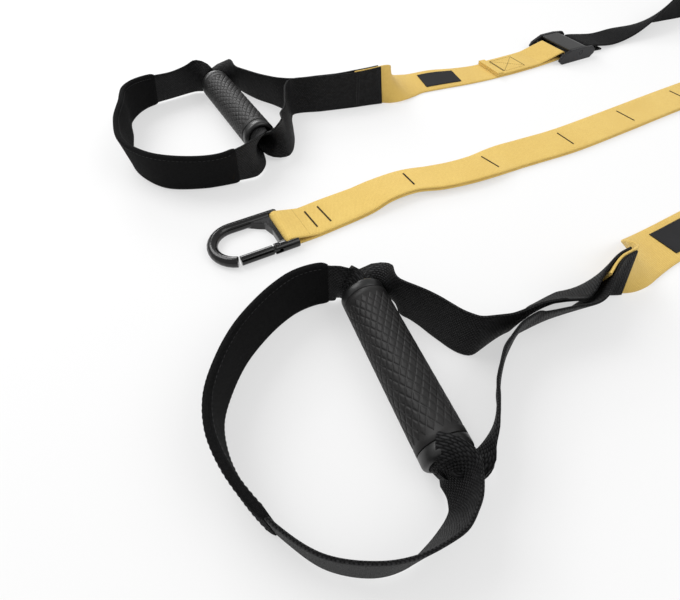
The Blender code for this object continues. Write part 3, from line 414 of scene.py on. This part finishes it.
def lying(path, width=webbing["width"], thickness=webbing["thickness"]):
    # Rows from (x, y, roll, curl, lift) of the webbing's middle, its lowest edge at the lift
    path = np.asarray(path, float)
    section = outline(width, thickness)
    rows = []
    for (x, y, roll, curl, lift), (hx, hy) in zip(path, headings(path[:, :2])):
        roll, curl = radians(roll), radians(curl)
        left = np.array([-hy, hx, 0])
        wide = cos(roll) * left + sin(roll) * np.array([0, 0, 1])
        face = -sin(roll) * left + cos(roll) * np.array([0, 0, 1])
        sideways, rise = sectionSpots(section, width, np.array([curl]))
        low = (sideways * wide[2] + rise * face[2]).min()
        rows.append([x, y, lift - low, *wide, curl])
    return np.array(rows)


def standing(path):
    # Rows from (x, y, roll) of the webbing's foot
    path = np.asarray(path, float)
    made = []
    for (x, y, roll), (hx, hy) in zip(path, headings(path[:, :2])):
        away = cos(radians(roll)) * webbing["width"] / 2
        made.append((x - hy * away, y + hx * away, roll, 0, 0))
    return lying(made)


def aroundBar(along, aside, height, radius, start, end, count=13):
    # Rows round a bar that lies across: angles from +X towards +Z
    return np.array([[along + radius * cos(a), aside, height + radius * sin(a), 0, 1, 0, 0]
                     for a in np.radians(np.linspace(start, end, count))])


def stations(leg, table, size, lift=0.0):
    made = []
    for a, b, roll, curl, *extra in table:
        x, y = leg["middle"] + leg["left"] * a * size + leg["up"] * b * gripSize["length"]
        made.append((x, y, roll, curl, extra[0] if extra else lift * abs(radians(curl))))
    return made


def tubeRows(leg, radius, rolls, curl):
    # The stretch inside the grip, curled about the grip's own axis
    left, up = np.array([*leg["left"], 0]), np.array([0, 0, 1])
    end = gripSize["length"] / 2 + reach["tubeEnd"]
    made = []
    for share in np.linspace(0, 1, 5):
        roll = radians(rolls[0] + (rolls[1] - rolls[0]) * share)
        wide = cos(roll) * left + sin(roll) * up
        face = -sin(roll) * left + cos(roll) * up
        x, y = leg["middle"] + leg["up"] * (2 * share - 1) * end
        axis = np.array([x, y, gripSize["diameter"] / 2])
        made.append([*(axis + (radius if curl < 0 else -radius) * face), *wide, curl])
    return np.array(made)


# Meshes
def meshObject(name, vertices, faces, look, uv=None):
    mesh = bpy.data.meshes.new(name)
    mesh.from_pydata(vertices, [], faces)
    if uv is not None:
        mesh.uv_layers.new(name="strap").data.foreach_set("uv", np.asarray(uv, np.float32).ravel())
    mesh.materials.append(look)
    mesh.shade_smooth()
    mesh.set_sharp_from_angle(angle=radians(50))
    made = bpy.data.objects.new(name, mesh)
    scene.collection.objects.link(made)
    return made


def outward(made):
    # Turns the faces of a closed body outwards
    bm = bmesh.new()
    bm.from_mesh(made.data)
    bmesh.ops.recalc_face_normals(bm, faces=bm.faces)
    if bm.calc_volume(signed=True) < 0:
        bmesh.ops.reverse_faces(bm, faces=bm.faces)
    bm.to_mesh(made.data)
    bm.free()
    return made


def sweep(name, sections, run, rim, look, closed=False, total=0.0):
    # A skin over sections (rows, corners, xyz); run is the length along, rim the length round the section
    rows, corners = sections.shape[:2]
    ends = np.r_[rim, rim[-1] + np.linalg.norm(sections[0, 0] - sections[0, -1])]
    faces, uv = [], []
    for i in range(rows if closed else rows - 1):
        j = (i + 1) % rows
        u = (run[i], total if closed and not j else run[j])
        for k in range(corners):
            m = (k + 1) % corners
            faces.append((i * corners + k, i * corners + m, j * corners + m, j * corners + k))
            uv += [(u[0], ends[k]), (u[0], ends[k + 1]), (u[1], ends[k + 1]), (u[1], ends[k])]
    if not closed:
        for i, order in ((0, range(corners - 1, -1, -1)), (rows - 1, range(corners))):
            faces.append([i * corners + k for k in order])
            uv += [(run[i], ends[k]) for k in order]
    made = meshObject(name, sections.reshape(-1, 3), faces, look, uv)
    return outward(made)


def ribbon(name, rows, look, width=webbing["width"], thickness=webbing["thickness"], closed=False, shift=0.0):
    section = outline(width, thickness)
    rim = runOf(section)
    run = runOf(rows[:, :3])
    total = run[-1] + (np.linalg.norm(rows[-1, :3] - rows[0, :3]) if closed else 0)
    return sweep(name, bodyOf(rows, section, width, shift), run, rim, look, closed, total), total


def spotOn(rows, at, across, lift):
    # A place on a strap's face: (place, heading, width direction, face), at a length along and across it
    run = runOf(rows[:, :3])
    row = np.array([np.interp(at, run, column) for column in rows.T])
    along = row[7:10] / np.linalg.norm(row[7:10])
    wide = row[3:6] - (row[3:6] @ along) * along
    wide /= np.linalg.norm(wide)
    face = np.cross(along, wide)
    return row[:3] + across * wide + lift * face, along, wide, face


# What repeats: a tree lays one small shape at each point of a guide mesh
def growTree(name, inputs):
    tree = bpy.data.node_groups.new(name, "GeometryNodeTree")
    tree.interface.new_socket("Geometry", in_out="INPUT", socket_type="NodeSocketGeometry")
    for label, kind in inputs.items():
        tree.interface.new_socket(label, in_out="INPUT", socket_type="NodeSocket" + kind)
    tree.interface.new_socket("Geometry", in_out="OUTPUT", socket_type="NodeSocketGeometry")
    kit = Nodes(tree)
    return tree, kit, kit.add("NodeGroupInput").outputs, kit.add("NodeGroupOutput")


def laidOut(kit, given, shape, rotation):
    laid = kit.add("GeometryNodeInstanceOnPoints", {"Points": given["Geometry"], "Instance": shape,
                                                    "Rotation": rotation})
    real = kit.add("GeometryNodeRealizeInstances", {"Geometry": laid.outputs[0]})
    return kit.add("GeometryNodeSetMaterial", {"Geometry": real.outputs[0], "Material": given["Material"]})


def stitchTree():
    # A thread capsule along each point's heading
    tree, kit, given, out = growTree(
        "stitches", {"Thread radius": "Float", "Stitch length": "Float", "Material": "Material"})
    ball = kit.add("GeometryNodeMeshUVSphere", {"Segments": 6, "Rings": 4, "Radius": 1.0})
    half = kit.math("MULTIPLY", given["Stitch length"], 0.5)
    size = kit.add("ShaderNodeCombineXYZ", {"X": given["Thread radius"], "Y": given["Thread radius"], "Z": half})
    thread = kit.add("GeometryNodeTransform", {"Geometry": ball.outputs["Mesh"], "Scale": size.outputs[0]})
    heading = kit.add("GeometryNodeInputNamedAttribute", {"Name": "heading"}, data_type="FLOAT_VECTOR")
    aim = kit.add("FunctionNodeAlignRotationToVector", {"Vector": heading.outputs["Attribute"]}, axis="Z")
    dressed = laidOut(kit, given, thread.outputs[0], aim.outputs[0])
    smooth = kit.add("GeometryNodeSetShadeSmooth", {"Geometry": dressed.outputs[0]})
    kit.put(out.inputs["Geometry"], smooth.outputs[0])
    return tree


stitches = stitchTree()


def grow(name, points, tree, values, attributes=()):
    # Runs a tree on loose points and keeps the result as a plain mesh
    guide = bpy.data.meshes.new(name + "Guide")
    guide.from_pydata([tuple(p) for p in points], [], [])
    for label, vectors in dict(attributes).items():
        guide.attributes.new(label, "FLOAT_VECTOR", "POINT").data.foreach_set(
            "vector", np.asarray(vectors, np.float32).ravel())
    holder = bpy.data.objects.new(name + "Holder", guide)
    scene.collection.objects.link(holder)
    modifier = holder.modifiers.new("grow", "NODES")
    modifier.node_group = tree
    sockets = {item.name: item.identifier for item in tree.interface.items_tree if item.in_out == "INPUT"}
    for label, value in values.items():
        modifier[sockets[label]] = value
    bpy.context.view_layer.update()
    shape = bpy.data.meshes.new_from_object(holder.evaluated_get(bpy.context.evaluated_depsgraph_get()))
    shape.name = name
    bpy.data.objects.remove(holder)
    made = bpy.data.objects.new(name, shape)
    scene.collection.objects.link(made)
    return made


def sew(name, lines, look, radius=0.0003, length=0.0024):
    # lines: (rows, [(along, across) from, (along, across) to], lift, stitch pitch, zigzag width)
    places, ways = [], []
    for rows, (start, end), lift, pitch, zigzag in lines:
        start, end = np.array(start), np.array(end)
        count = max(2, round(np.linalg.norm(end - start) / pitch))
        way = (end - start) / np.linalg.norm(end - start)
        side = np.array([-way[1], way[0]])
        for i in range(count):
            at = start + (end - start) * (i + 0.5) / count
            slant = side * zigzag * (1 if i % 2 else -1) + way * (length if zigzag == 0 else length / 3)
            place, along, wide, _ = spotOn(rows, at[0], at[1], lift)
            places.append(place)
            ways.append(slant[0] * along + slant[1] * wide)
    return grow(name, places, stitches, {"Thread radius": radius, "Stitch length": length, "Material": look},
                {"heading": ways})


def finishPiece(piece, body, slot, *stood):
    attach(piece, body)
    if stood:
        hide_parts(*stood)


# Foot loops
def makeCradle(leg):
    side, body = leg["side"], leg["side"] + "_leg"
    outside = lying(stations(leg, leg["cradle"], reach["loop"]), reach["padWidth"], padThickness)
    rolls = leg.get("cradleTube", (105, 105))
    tube = tubeRows(leg, outerCurl, rolls, webbing["width"] / outerCurl)
    rows = settled(smoothRows(np.vstack([tube, outside]), closed=True), reach["padWidth"], padThickness, closed=True)
    loop, total = ribbon(side + "FootLoop", rows, black, closed=True)
    finishPiece(loop, body, "black_webbing", side + "_cradle_webbing")
    ends = []
    for station in leg["pad"]:
        spot = [np.interp(station, np.arange(len(outside)), column) for column in outside[:, :2].T]
        ends.append(np.linalg.norm(rows[:, :2] - spot, axis=1).argmin())
    makePad(leg, rows[ends[0]:ends[1] + 1])


padSew = {"inset": 0.003, "margin": 0.004, "lift": 0.00005, "pitch": 0.0034, "radius": 0.00025, "length": 0.0024,
          "taper": 0.004, "endShare": 0.25}


def makePad(leg, stretch):
    # A padded sleeve: plump at the middle of each wall, thin at its bound ends and along its edges
    side = leg["side"]
    half, wall = reach["padWidth"] / 2, padThickness / 2
    inner = outline(webbing["width"] + 2 * webbing["gap"], sleeveSpace)
    outer = outline(reach["padWidth"], padThickness)
    run = runOf(stretch[:, :3])
    swell = np.minimum(1, np.minimum(run, run[-1] - run) / padSew["taper"])
    body = bodyOf(stretch, outer, reach["padWidth"])
    core = bodyOf(stretch, inner, reach["padWidth"])
    plump = padSew["endShare"] + (1 - padSew["endShare"]) * np.sin(swell * pi / 2)
    shell = core + (body - core) * plump[:, None, None]
    pad = sweep(side + "FootPad", shell, run, runOf(outer), padCloth)
    finishPiece(pad, side + "_leg", "pad_fabric", side + "_cradle_pad")
    start, end = padSew["margin"], run[-1] - padSew["margin"]
    lines = []
    for across in (-half + padSew["inset"], half - padSew["inset"]):
        for face in (-1, 1):
            lines.append((stretch, ((start, across), (end, across)), face * (wall + padSew["lift"]),
                          padSew["pitch"], 0))
    thread = sew(side + "PadStitches", lines, blackThread, padSew["radius"], padSew["length"])
    finishPiece(thread, side + "_leg", "pad_fabric")


# From the joint to the buckle
def trunkRows(leg):
    knot, run = leg["knot"], leg["run"]
    doubled = [(knot[0] + a * run, knot[1] + b * webbing["width"], (front + back) / 2)
               for a, b, front, back, _ in leg["doubled"]]
    single = [(knot[0] + a * run, knot[1] + b * webbing["width"], roll, 0, 0) for a, b, roll in leg["single"]]
    bend = aroundBar(*leg["buckle"], barHeight, barWrap, -90, 90)
    return settled(smoothRows(np.vstack([standing(doubled), lying(single), bend[:1]]), step=0.001)), bend


def sewnLayer(leg, trunk, side):
    # One black layer beside the trunk, leaning away from the other where they part
    run = trunk[trunk[:, 0] < leg["seamAt"]]
    face = np.cross(run[:, 7:10], run[:, 3:6])
    places = [leg["knot"][0] + row[0] * leg["run"] for row in leg["doubled"]]
    lean = np.interp(run[:, 0], places, [radians(row[2] - row[3]) / 2 for row in leg["doubled"]])
    spread = np.interp(run[:, 0], places, [row[4] / 2 for row in leg["doubled"]])
    pocket = leg["seamAt"] - reach["overlap"]
    aside = np.interp(run[:, 0], (pocket - webbing["width"] / 2, pocket), (layer / 2, layer + webbing["gap"]))
    made = run[:, :7].copy()
    half = webbing["width"] / 2
    made[:, 3:6] = run[:, 3:6] * np.cos(lean)[:, None] + side * face * np.sin(lean)[:, None]
    made[:, :3] += -half * run[:, 3:6] + half * made[:, 3:6] + side * face * aside[:, None]
    made[:, :2] += side * spread[:, None] * unitRows(np.stack([run[:, 8], -run[:, 7]], axis=1))
    return made


seamSew = {"insets": (0.003, 0.0055, 0.026, 0.0285), "margin": 0.003, "pitch": 0.0022, "radius": 0.0003,
           "length": 0.0018}


def makeTriangle(leg):
    side, body = leg["side"], leg["side"] + "_leg"
    trunk, _ = trunkRows(leg)
    tube = tubeRows(leg, innerCurl, (75, 75), -webbing["width"] / innerCurl)
    lower = lying(stations(leg, leg["lower"], reach["triangle"], reach["mouthLift"]))
    upper = lying(stations(leg, leg["upper"], reach["triangle"], reach["mouthLift"]))
    front, back = sewnLayer(leg, trunk, 1)[::-1], sewnLayer(leg, trunk, -1)
    rows = settled(smoothRows(np.vstack([front[::4], lower, tube, upper, back[::4]])))
    piece, total = ribbon(side + "Triangle", rows, black)
    finishPiece(piece, body, "black_webbing", side + "_triangle_webbing")
    # Rows of stitches across the doubled part, and the seam that holds the yellow strap
    seamRows = trunk[trunk[:, 0] < leg["seamAt"]]
    length = runOf(seamRows[:, :3])[-1]
    half = webbing["width"] / 2 - seamSew["margin"]
    lift = 1.5 * webbing["thickness"] + 2 * webbing["gap"]
    lines = []
    for inset in seamSew["insets"]:
        for face in (-1, 1):
            lines.append((seamRows, ((length - inset, -half), (length - inset, half)), face * lift,
                          seamSew["pitch"], 0))
    thread = sew(side + "SeamStitches", lines, blackThread, seamSew["radius"], seamSew["length"])
    finishPiece(thread, body, "black_webbing")


def makeStrap(leg):
    side, body = leg["side"], leg["side"] + "_leg"
    trunk, bend = trunkRows(leg)
    there = trunk[trunk[:, 0] > leg["seamAt"] - reach["overlap"]]
    face = np.cross(there[:, 7:10], there[:, 3:6])
    spread = np.interp(there[:, 0], (leg["buckle"][0] - buckleSize["returnLength"] / 3, leg["buckle"][0]),
                       (layer, 2 * barWrap))
    back = there.copy()
    back[:, :3] += face * spread[:, None]
    keep = (there[:, 0] > leg["buckle"][0] - buckleSize["returnLength"]) & (there[:, 0] < leg["buckle"][0] - 0.002)
    top = back[keep]
    rows = withHeadings(np.vstack([there[:, :7], bend[1:], top[::-1, :7]]))
    piece, total = ribbon(side + "AdjustmentStrap", rows, yellow)
    finishPiece(piece, body, "yellow_webbing", side + "_adjustment_strap")
    makeHem(leg, top)
    makeLabel(leg, there)


# Stitch kinds are a pitch and a zigzag's width
hemSew = {
    "fold": 0.0085, "lift": 0.0001, "left": 0.0125, "right": 0.045, "half": 0.0140, "step": 0.0014, "inset": 0.001,
    "leftBar": (0.0011, 0.0004), "rightBar": (0.0012, 0.0003), "slant": (0.0024, 0), "pale": (0.0026, 0),
}


def makeHem(leg, top):
    # The strap's folded-back end and its box of stitches, on the upper layer
    side, body = leg["side"], leg["side"] + "_leg"
    lift = webbing["thickness"] + hemSew["lift"]
    fold = top[top[:, 0] < top[0, 0] + hemSew["fold"]].copy()
    hem, _ = ribbon(side + "Hem", fold, yellow, webbing["width"], webbing["thickness"] * 0.9, shift=lift)
    finishPiece(hem, body, "yellow_webbing")
    face = webbing["thickness"] / 2 + hemSew["lift"]
    left, right, wide, inset = hemSew["left"], hemSew["right"], hemSew["half"], hemSew["inset"]
    lines = [(top, ((at, -wide), (at, wide)), face, *hemSew["leftBar"]) for at in (left, left + hemSew["step"])]
    lines.append((top, ((right, -wide + inset), (right, wide - inset)), face, *hemSew["rightBar"]))
    lines.append((top, ((left + inset, -wide), (right, wide - inset)), face, *hemSew["slant"]))
    dark = sew(side + "BoxStitches", lines, darkThread, 0.00028, 0.0016)
    finishPiece(dark, body, "yellow_webbing")
    faint = [(top, ((left + inset, wide), (right, -wide + inset)), face, *hemSew["pale"])]
    faint += [(top, ((left, across), (right, across)), face, *hemSew["pale"]) for across in (-wide, wide)]
    pale = sew(side + "BoxStitchesPale", faint, paleThread, 0.00022, 0.0018)
    finishPiece(pale, body, "yellow_webbing")


labelSew = {"edge": 0.0018, "pitch": 0.0022, "radius": 0.0002, "length": 0.0015}


def makeLabel(leg, there):
    # A bare patch sewn round its border
    side, body = leg["side"], leg["side"] + "_leg"
    middle = leg["knot"][0] + labelSize["share"] * leg["run"]
    half = labelSize["length"] / 2
    inside = there[(there[:, 0] > middle - half) & (there[:, 0] < middle + half)]
    shift = webbing["thickness"] / 2 + labelSize["thickness"] / 2
    label, _ = ribbon(side + "Label", inside, labelSkin, labelSize["width"], labelSize["thickness"], shift=shift)
    finishPiece(label, body, "label_patch", side + "_label")
    length = runOf(inside[:, :3])[-1]
    edge, face = labelSew["edge"], webbing["thickness"] / 2 + labelSize["thickness"]
    wide = labelSize["width"] / 2 - edge
    spans = [((at, -wide), (at, wide)) for at in (edge, length - edge)]
    spans += [((edge, across), (length - edge, across)) for across in (-wide, wide)]
    lines = [(inside, span, face, labelSew["pitch"], 0) for span in spans]
    thread = sew(side + "LabelStitches", lines, blackThread, labelSew["radius"], labelSew["length"])
    finishPiece(thread, body, "label_patch")


for leg in (farLeg, nearLeg):
    makeCradle(leg)
    makeTriangle(leg)
    makeStrap(leg)
print("legs made")


# Grips
gripLook = {"around": 18, "diamondLength": 0.0086, "groove": 0.00042, "depth": 0.00026, "bandEnd": 0.0042}


def padShape():
    # One raised diamond of the rubber, wrapped on the grip and centred on +Z
    radius = gripSize["diameter"] / 2
    width = tau * radius / gripLook["around"] - gripLook["groove"]
    length = gripLook["diamondLength"] - gripLook["groove"] * 1.5
    bm = bmesh.new()
    steps = (-1.0, -0.9, -0.45, 0.0, 0.45, 0.9, 1.0)
    grid = []
    for p in steps:
        line = []
        for q in steps:
            a, t = (p + q) / 2 * width / 2, (p - q) / 2 * length / 2
            edge = max(abs(p), abs(q)) > 0.95
            low = radius - gripLook["depth"] * 1.5 if edge else radius - (gripLook["depth"] * 0.25
                                                                         if max(abs(p), abs(q)) > 0.8 else 0)
            angle = a / radius
            line.append(bm.verts.new((low * sin(angle), t, low * cos(angle))))
        grid.append(line)
    for one, two in zip(grid, grid[1:]):
        for k in range(len(steps) - 1):
            bm.faces.new((one[k], one[k + 1], two[k + 1], two[k]))
    mesh = bpy.data.meshes.new("diamondPad")
    bmesh.ops.recalc_face_normals(bm, faces=bm.faces)
    if bm.faces[24].normal.z < 0:
        bmesh.ops.reverse_faces(bm, faces=bm.faces)
    bm.to_mesh(mesh)
    bm.free()
    mesh.shade_smooth()
    return bpy.data.objects.new("diamondPad", mesh)


def padTree():
    # The diamond, turned about the grip by each point's angle
    tree, kit, given, out = growTree("diamonds", {"Diamond": "Object", "Material": "Material"})
    shape = kit.add("GeometryNodeObjectInfo", {"Object": given["Diamond"]})
    turned = kit.add("GeometryNodeInputNamedAttribute", {"Name": "turned"}, data_type="FLOAT_VECTOR")
    dressed = laidOut(kit, given, shape.outputs["Geometry"], turned.outputs["Attribute"])
    kit.put(out.inputs["Geometry"], dressed.outputs[0])
    return tree


diamond, diamonds = padShape(), padTree()


def turnedBody(name, profile, look, sides=96):
    # A body turned about Y from an open (radius, along) profile, closed on itself
    vertices = [(r * sin(tau * i / sides), t, r * cos(tau * i / sides)) for i in range(sides) for r, t in profile]
    count = len(profile)
    faces = []
    for i in range(sides):
        j = (i + 1) % sides
        for k in range(count):
            m = (k + 1) % count
            faces.append((i * count + k, j * count + k, j * count + m, i * count + m))
    made = meshObject(name, vertices, faces, look)
    return outward(made)


def makeGrip(leg):
    side, body = leg["side"], leg["side"] + "_grip"
    radius, half, bore = gripSize["diameter"] / 2, gripSize["length"] / 2, gripSize["bore"] / 2
    core = bore + gripSize["wall"]
    inner = half - gripSize["cap"]
    floor = radius - gripLook["depth"]
    place = Matrix.Translation((*leg["grip"], radius)) @ Matrix.Rotation(leg["turn"], 4, "Z")
    # Sleeve: grooves' floor with a plain band at each end
    zig = gripLook["bandEnd"]
    profile = [(core + 0.0003, -inner), (radius - 0.0003, -inner), (radius, -inner + 0.0003), (radius, -inner + zig),
               (floor, -inner + zig + 0.0004), (floor, inner - zig - 0.0004), (radius, inner - zig),
               (radius, inner - 0.0003), (radius - 0.0003, inner), (core + 0.0003, inner)]
    sleeve = turnedBody(side + "GripSleeve", profile, rubber)
    rows = int((2 * (inner - zig)) / (gripLook["diamondLength"] / 2))
    step = 2 * (inner - zig) / (rows + 1)
    points, turns = [], []
    for i in range(rows):
        for k in range(gripLook["around"]):
            points.append((0, -inner + zig + step * (i + 1), 0))
            turns.append((0, tau * (k + (i % 2) / 2) / gripLook["around"], 0))
    pads = grow(side + "GripDiamonds", points, diamonds, {"Diamond": diamond, "Material": rubber}, {"turned": turns})
    # End caps: smooth, rounded, with a fine line where they meet the rubber
    start, r = inner + 0.0003, gripSize["rounding"]
    edge = [(radius - r * (1 - cos(a)), half - r * (1 - sin(a))) for a in np.linspace(0, pi / 2, 9)]
    cap = [(bore, start), (radius - 0.0005, start), (radius, start + 0.0005), *edge, (bore + 0.0008, half),
           (bore, half - 0.0008)]
    caps = [turnedBody(side + name, [(a, way * t) for a, t in cap], plastic)
            for name, way in (("UpperCap", 1), ("LowerCap", -1))]
    lining = turnedBody(side + "GripCore", [(bore, -inner), (core, -inner), (core, inner), (bore, inner)], plastic)
    for piece in (sleeve, pads, lining, *caps):
        piece.data.transform(place)
    finishPiece(sleeve, body, "grip_rubber", side + "_grip_sleeve")
    finishPiece(pads, body, "grip_rubber")
    finishPiece(lining, body, "grip_plastic", side + "_grip_core")
    finishPiece(caps[0], body, "grip_plastic", side + "_upper_cap")
    finishPiece(caps[1], body, "grip_plastic", side + "_lower_cap")


for leg in (farLeg, nearLeg):
    makeGrip(leg)
bpy.data.objects.remove(diamond)
print("grips made")


# Anchor strap and its bar tacks
anchorSew = {
    "firstTacks": [0.0321, 0.0448, 0.132, 0.2152], "laterTacks": 0.3084, "half": 0.0112, "lift": 0.0002,
    "pitch": 0.00055, "zigzag": 0.0016, "radius": 0.0003, "length": 0.0021, "seamAt": 0.0225, "seamHalf": 0.0180,
    "seamPitch": 0.0016, "seamRadius": 0.0002, "seamLength": 0.0012,
}


def makeAnchor():
    radius, farRadius = wrapRadius(anchorSize["bar"]), wrapRadius(anchorSize["linkRod"])
    path = [(outerBar[0] + a * anchorSize["pitch"], b * webbing["width"], roll, 0, 0) for a, b, roll in anchorLie]
    start = aroundBar(outerBar[0], 0, outerBar[1], radius, 90, 270)
    end = aroundBar(linkBar, 0, linkHeight, farRadius, -90, 90)
    there = settled(smoothRows(np.vstack([start[-1:], lying(path), end[:1]])))
    face = np.cross(there[:, 7:10], there[:, 3:6])
    marks = (outerBar[0], outerBar[0] + anchorSize["pitch"] / 4, linkBar - anchorSize["pitch"] / 3, linkBar)
    spread = np.interp(there[:, 0], marks, (2 * radius, layer, layer, 2 * farRadius))
    back = there.copy()
    back[:, :3] += face * spread[:, None]
    rows = withHeadings(np.vstack([there[:, :7], end[1:-1], back[::-1, :7], start[1:-1]]), closed=True)
    piece, total = ribbon("anchorStrap", rows, anchorYellow, closed=True)
    finishPiece(piece, "anchor", "yellow_webbing", "anchor_strap")
    top = withHeadings(back)
    run = runOf(top[:, :3])
    tacks = anchorSew["firstTacks"] + [anchorSew["laterTacks"] + i * anchorSize["pitch"] for i in range(4)]
    half, lift = anchorSew["half"], webbing["thickness"] / 2 + anchorSew["lift"]
    lines = []
    for along in tacks:
        at = np.interp(along, top[:, 0], run)
        lines.append((top, ((at, -half), (at, half)), lift, anchorSew["pitch"], anchorSew["zigzag"]))
    thread = sew("anchorTacks", lines, darkThread, anchorSew["radius"], anchorSew["length"])
    finishPiece(thread, "anchor", "yellow_webbing")
    at, half = np.interp(anchorSew["seamAt"], top[:, 0], run), anchorSew["seamHalf"]
    seam = [(top, ((at, -half), (at, half)), webbing["thickness"] / 2, anchorSew["seamPitch"], 0)]
    line = sew("anchorFoldSeam", seam, paleThread, anchorSew["seamRadius"], anchorSew["seamLength"])
    finishPiece(line, "anchor", "yellow_webbing")


makeAnchor()


# Upper strap, out of the picture: from the far buckle through the link and back to the near one
def makeUpper():
    far, near = farLeg["buckle"], nearLeg["buckle"]
    radius = wrapRadius(anchorSize["linkRod"])
    rears = (far[0] + rearOffset, near[0] + rearOffset)
    tails = [np.array([[rear + upperLie["tail"], place[1], webbing["thickness"] / 2, 0, 1, 0, 0]])
             for rear, place in zip(rears, (far, near))]
    out = lying([(linkFarBar + a * upperLie["reach"], b * far[1], -roll, 0, layer if b == 1 else 0)
                 for a, b, roll in upperLie["half"]])
    home = lying([(linkFarBar + a * upperLie["reach"], b * near[1], roll - 180, 0, layer if b == 1 else 0)
                  for a, b, roll in upperLie["half"][::-1]])
    out[-2:, 2] = linkHeight + radius
    rows = settled(smoothRows(np.vstack([
        tails[0], aroundBar(rears[0], far[1], barHeight, barWrap, 270, 90, 9), out,
        aroundBar(linkFarBar, 0, linkHeight, radius, 90, 270, 9), home,
        aroundBar(rears[1], near[1], barHeight, barWrap, 90, 270, 9), tails[1]])))
    piece, total = ribbon("upperStrap", rows, trunkBlack)
    finishPiece(piece, "upper", "black_webbing", "upper_strap")


makeUpper()
print("straps made")


# Metal and plastic parts: the size of the remeshing cells, and how many times the surface is smoothed
castLook = {"frame": (0.00035, 6), "gate": (0.0003, 4), "link": (0.0004, 3), "buckle": (0.0005, 3)}


def castCopy(name, node, body, look, slot, voxel, passes):
    # A copy of the solid, its edges rounded as on a cast part
    source = nodes[node]
    mesh = source.data.copy()
    mesh.name = name
    made = bpy.data.objects.new(name, mesh)
    scene.collection.objects.link(made)
    bm = bmesh.new()
    bm.from_mesh(mesh)
    bmesh.ops.remove_doubles(bm, verts=bm.verts, dist=0.000002)
    bm.to_mesh(mesh)
    bm.free()
    remesh = made.modifiers.new("remesh", "REMESH")
    remesh.mode = "VOXEL"
    remesh.voxel_size = voxel
    soften = made.modifiers.new("soften", "SMOOTH")
    soften.factor = 0.5
    soften.iterations = passes
    bpy.context.view_layer.update()
    shape = bpy.data.meshes.new_from_object(made.evaluated_get(bpy.context.evaluated_depsgraph_get()))
    made.modifiers.clear()
    made.data = shape
    shape.name = name
    shape.materials.clear()
    shape.materials.append(look)
    shape.shade_smooth()
    finishPiece(made, body, slot, node)


castCopy("carabinerFrame", "carabiner_frame", "carabiner", gloss, "carabiner_gloss", *castLook["frame"])
castCopy("carabinerGate", "carabiner_gate", "gate", gloss, "carabiner_gloss", *castLook["gate"])
castCopy("linkRing", "link", "link", metal, "dark_metal", *castLook["link"])
for leg in (farLeg, nearLeg):
    side = leg["side"]
    castCopy(side + "BuckleFrame", side + "_buckle_frame", side + "_buckle", metal, "dark_metal",
             *castLook["buckle"])
    castCopy(side + "CamLever", side + "_cam_lever", side + "_lever", plastic, "black_plastic",
             *castLook["buckle"])
for pin in ("far_lever_pin", "near_lever_pin", "gate_pin"):
    nodes[pin].data.materials.clear()
    nodes[pin].data.materials.append(metal)
print("hardware made")


# Studio
def makeStudio():
    made, kit, shader = startMaterial("floorPaper")
    noise = kit.add("ShaderNodeTexNoise", {"Scale": 3.0})
    tone = kit.add("ShaderNodeMix", {"Factor": noise.outputs["Fac"]}, data_type="RGBA")
    base = studio["floorColour"]
    tone.inputs["A"].default_value = (*base, 1)
    tone.inputs["B"].default_value = (*[c * 1.01 for c in base], 1)
    kit.put(shader.inputs["Base Color"], tone.outputs["Result"])
    shader.inputs["Roughness"].default_value = 0.9
    shader.inputs["Specular IOR Level"].default_value = 0.1
    size, drop = studio["floorSize"], studio["floorDrop"]
    corners = [(-size, -size, drop), (size, -size, drop), (size, size, drop), (-size, size, drop)]
    floor = meshObject("studioFloor", corners, [(0, 1, 2, 3)], made)
    # To the camera the paper is plain white, with the object's shadow kept faint
    tree = made.node_tree
    bright = kit.add("ShaderNodeEmission", {"Color": (1, 1, 1, 1), "Strength": 1.0})
    ray = kit.add("ShaderNodeLightPath")
    direct = kit.math("ADD", ray.outputs["Is Camera Ray"], ray.outputs["Is Glossy Ray"])
    direct = kit.math("ADD", direct, ray.outputs["Is Transmission Ray"])
    share = kit.math("MULTIPLY", kit.math("MINIMUM", direct, 1.0), studio["whiteShare"])
    blend = kit.add("ShaderNodeMixShader", {0: share, 1: shader.outputs[0], 2: bright.outputs[0]})
    tree.links.new(blend.outputs[0], tree.nodes["Material Output"].inputs["Surface"])
    world = scene.world or bpy.data.worlds.new("studioWorld")
    scene.world = world
    world.use_nodes = True
    sky = world.node_tree.nodes["Background"]
    sky.inputs["Color"].default_value = (*studio["worldColour"], 1)
    sky.inputs["Strength"].default_value = studio["worldStrength"]
    lamps = {
        "keyLamp": ((-0.5, 0.9, 1.3), (0.15, 0.0, 0.0), 1.0, 14.0),
        "fillLamp": ((0.9, -0.9, 1.4), (0.15, 0.0, 0.0), 1.2, 9.0),
        "rimLamp": ((0.2, 1.6, 0.8), (0.1, 0.1, 0.0), 0.6, 8.0),
    }
    for name, (place, target, width, power) in lamps.items():
        light = bpy.data.lights.new(name, "AREA")
        light.size = width
        light.energy = power
        lamp = bpy.data.objects.new(name, light)
        lamp.location = place
        lamp.rotation_euler = (Vector(target) - Vector(place)).to_track_quat("-Z", "Y").to_euler()
        scene.collection.objects.link(lamp)
    lens = bpy.data.cameras.new("photoCamera")
    lens.sensor_width = studio["sensorWidth"]
    lens.lens = studio["focalPixels"] / studio["imageWidth"] * studio["sensorWidth"]
    lens.clip_start = 0.01
    eye = bpy.data.objects.new("photoCamera", lens)
    eye.location = studio["eye"]
    eye.rotation_euler = (radians(90 - studio["pitchDown"]), 0, -radians(studio["heading"]))
    scene.collection.objects.link(eye)
    scene.camera = eye
    scene.view_settings.view_transform = "Standard"


makeStudio()
print("studio made")
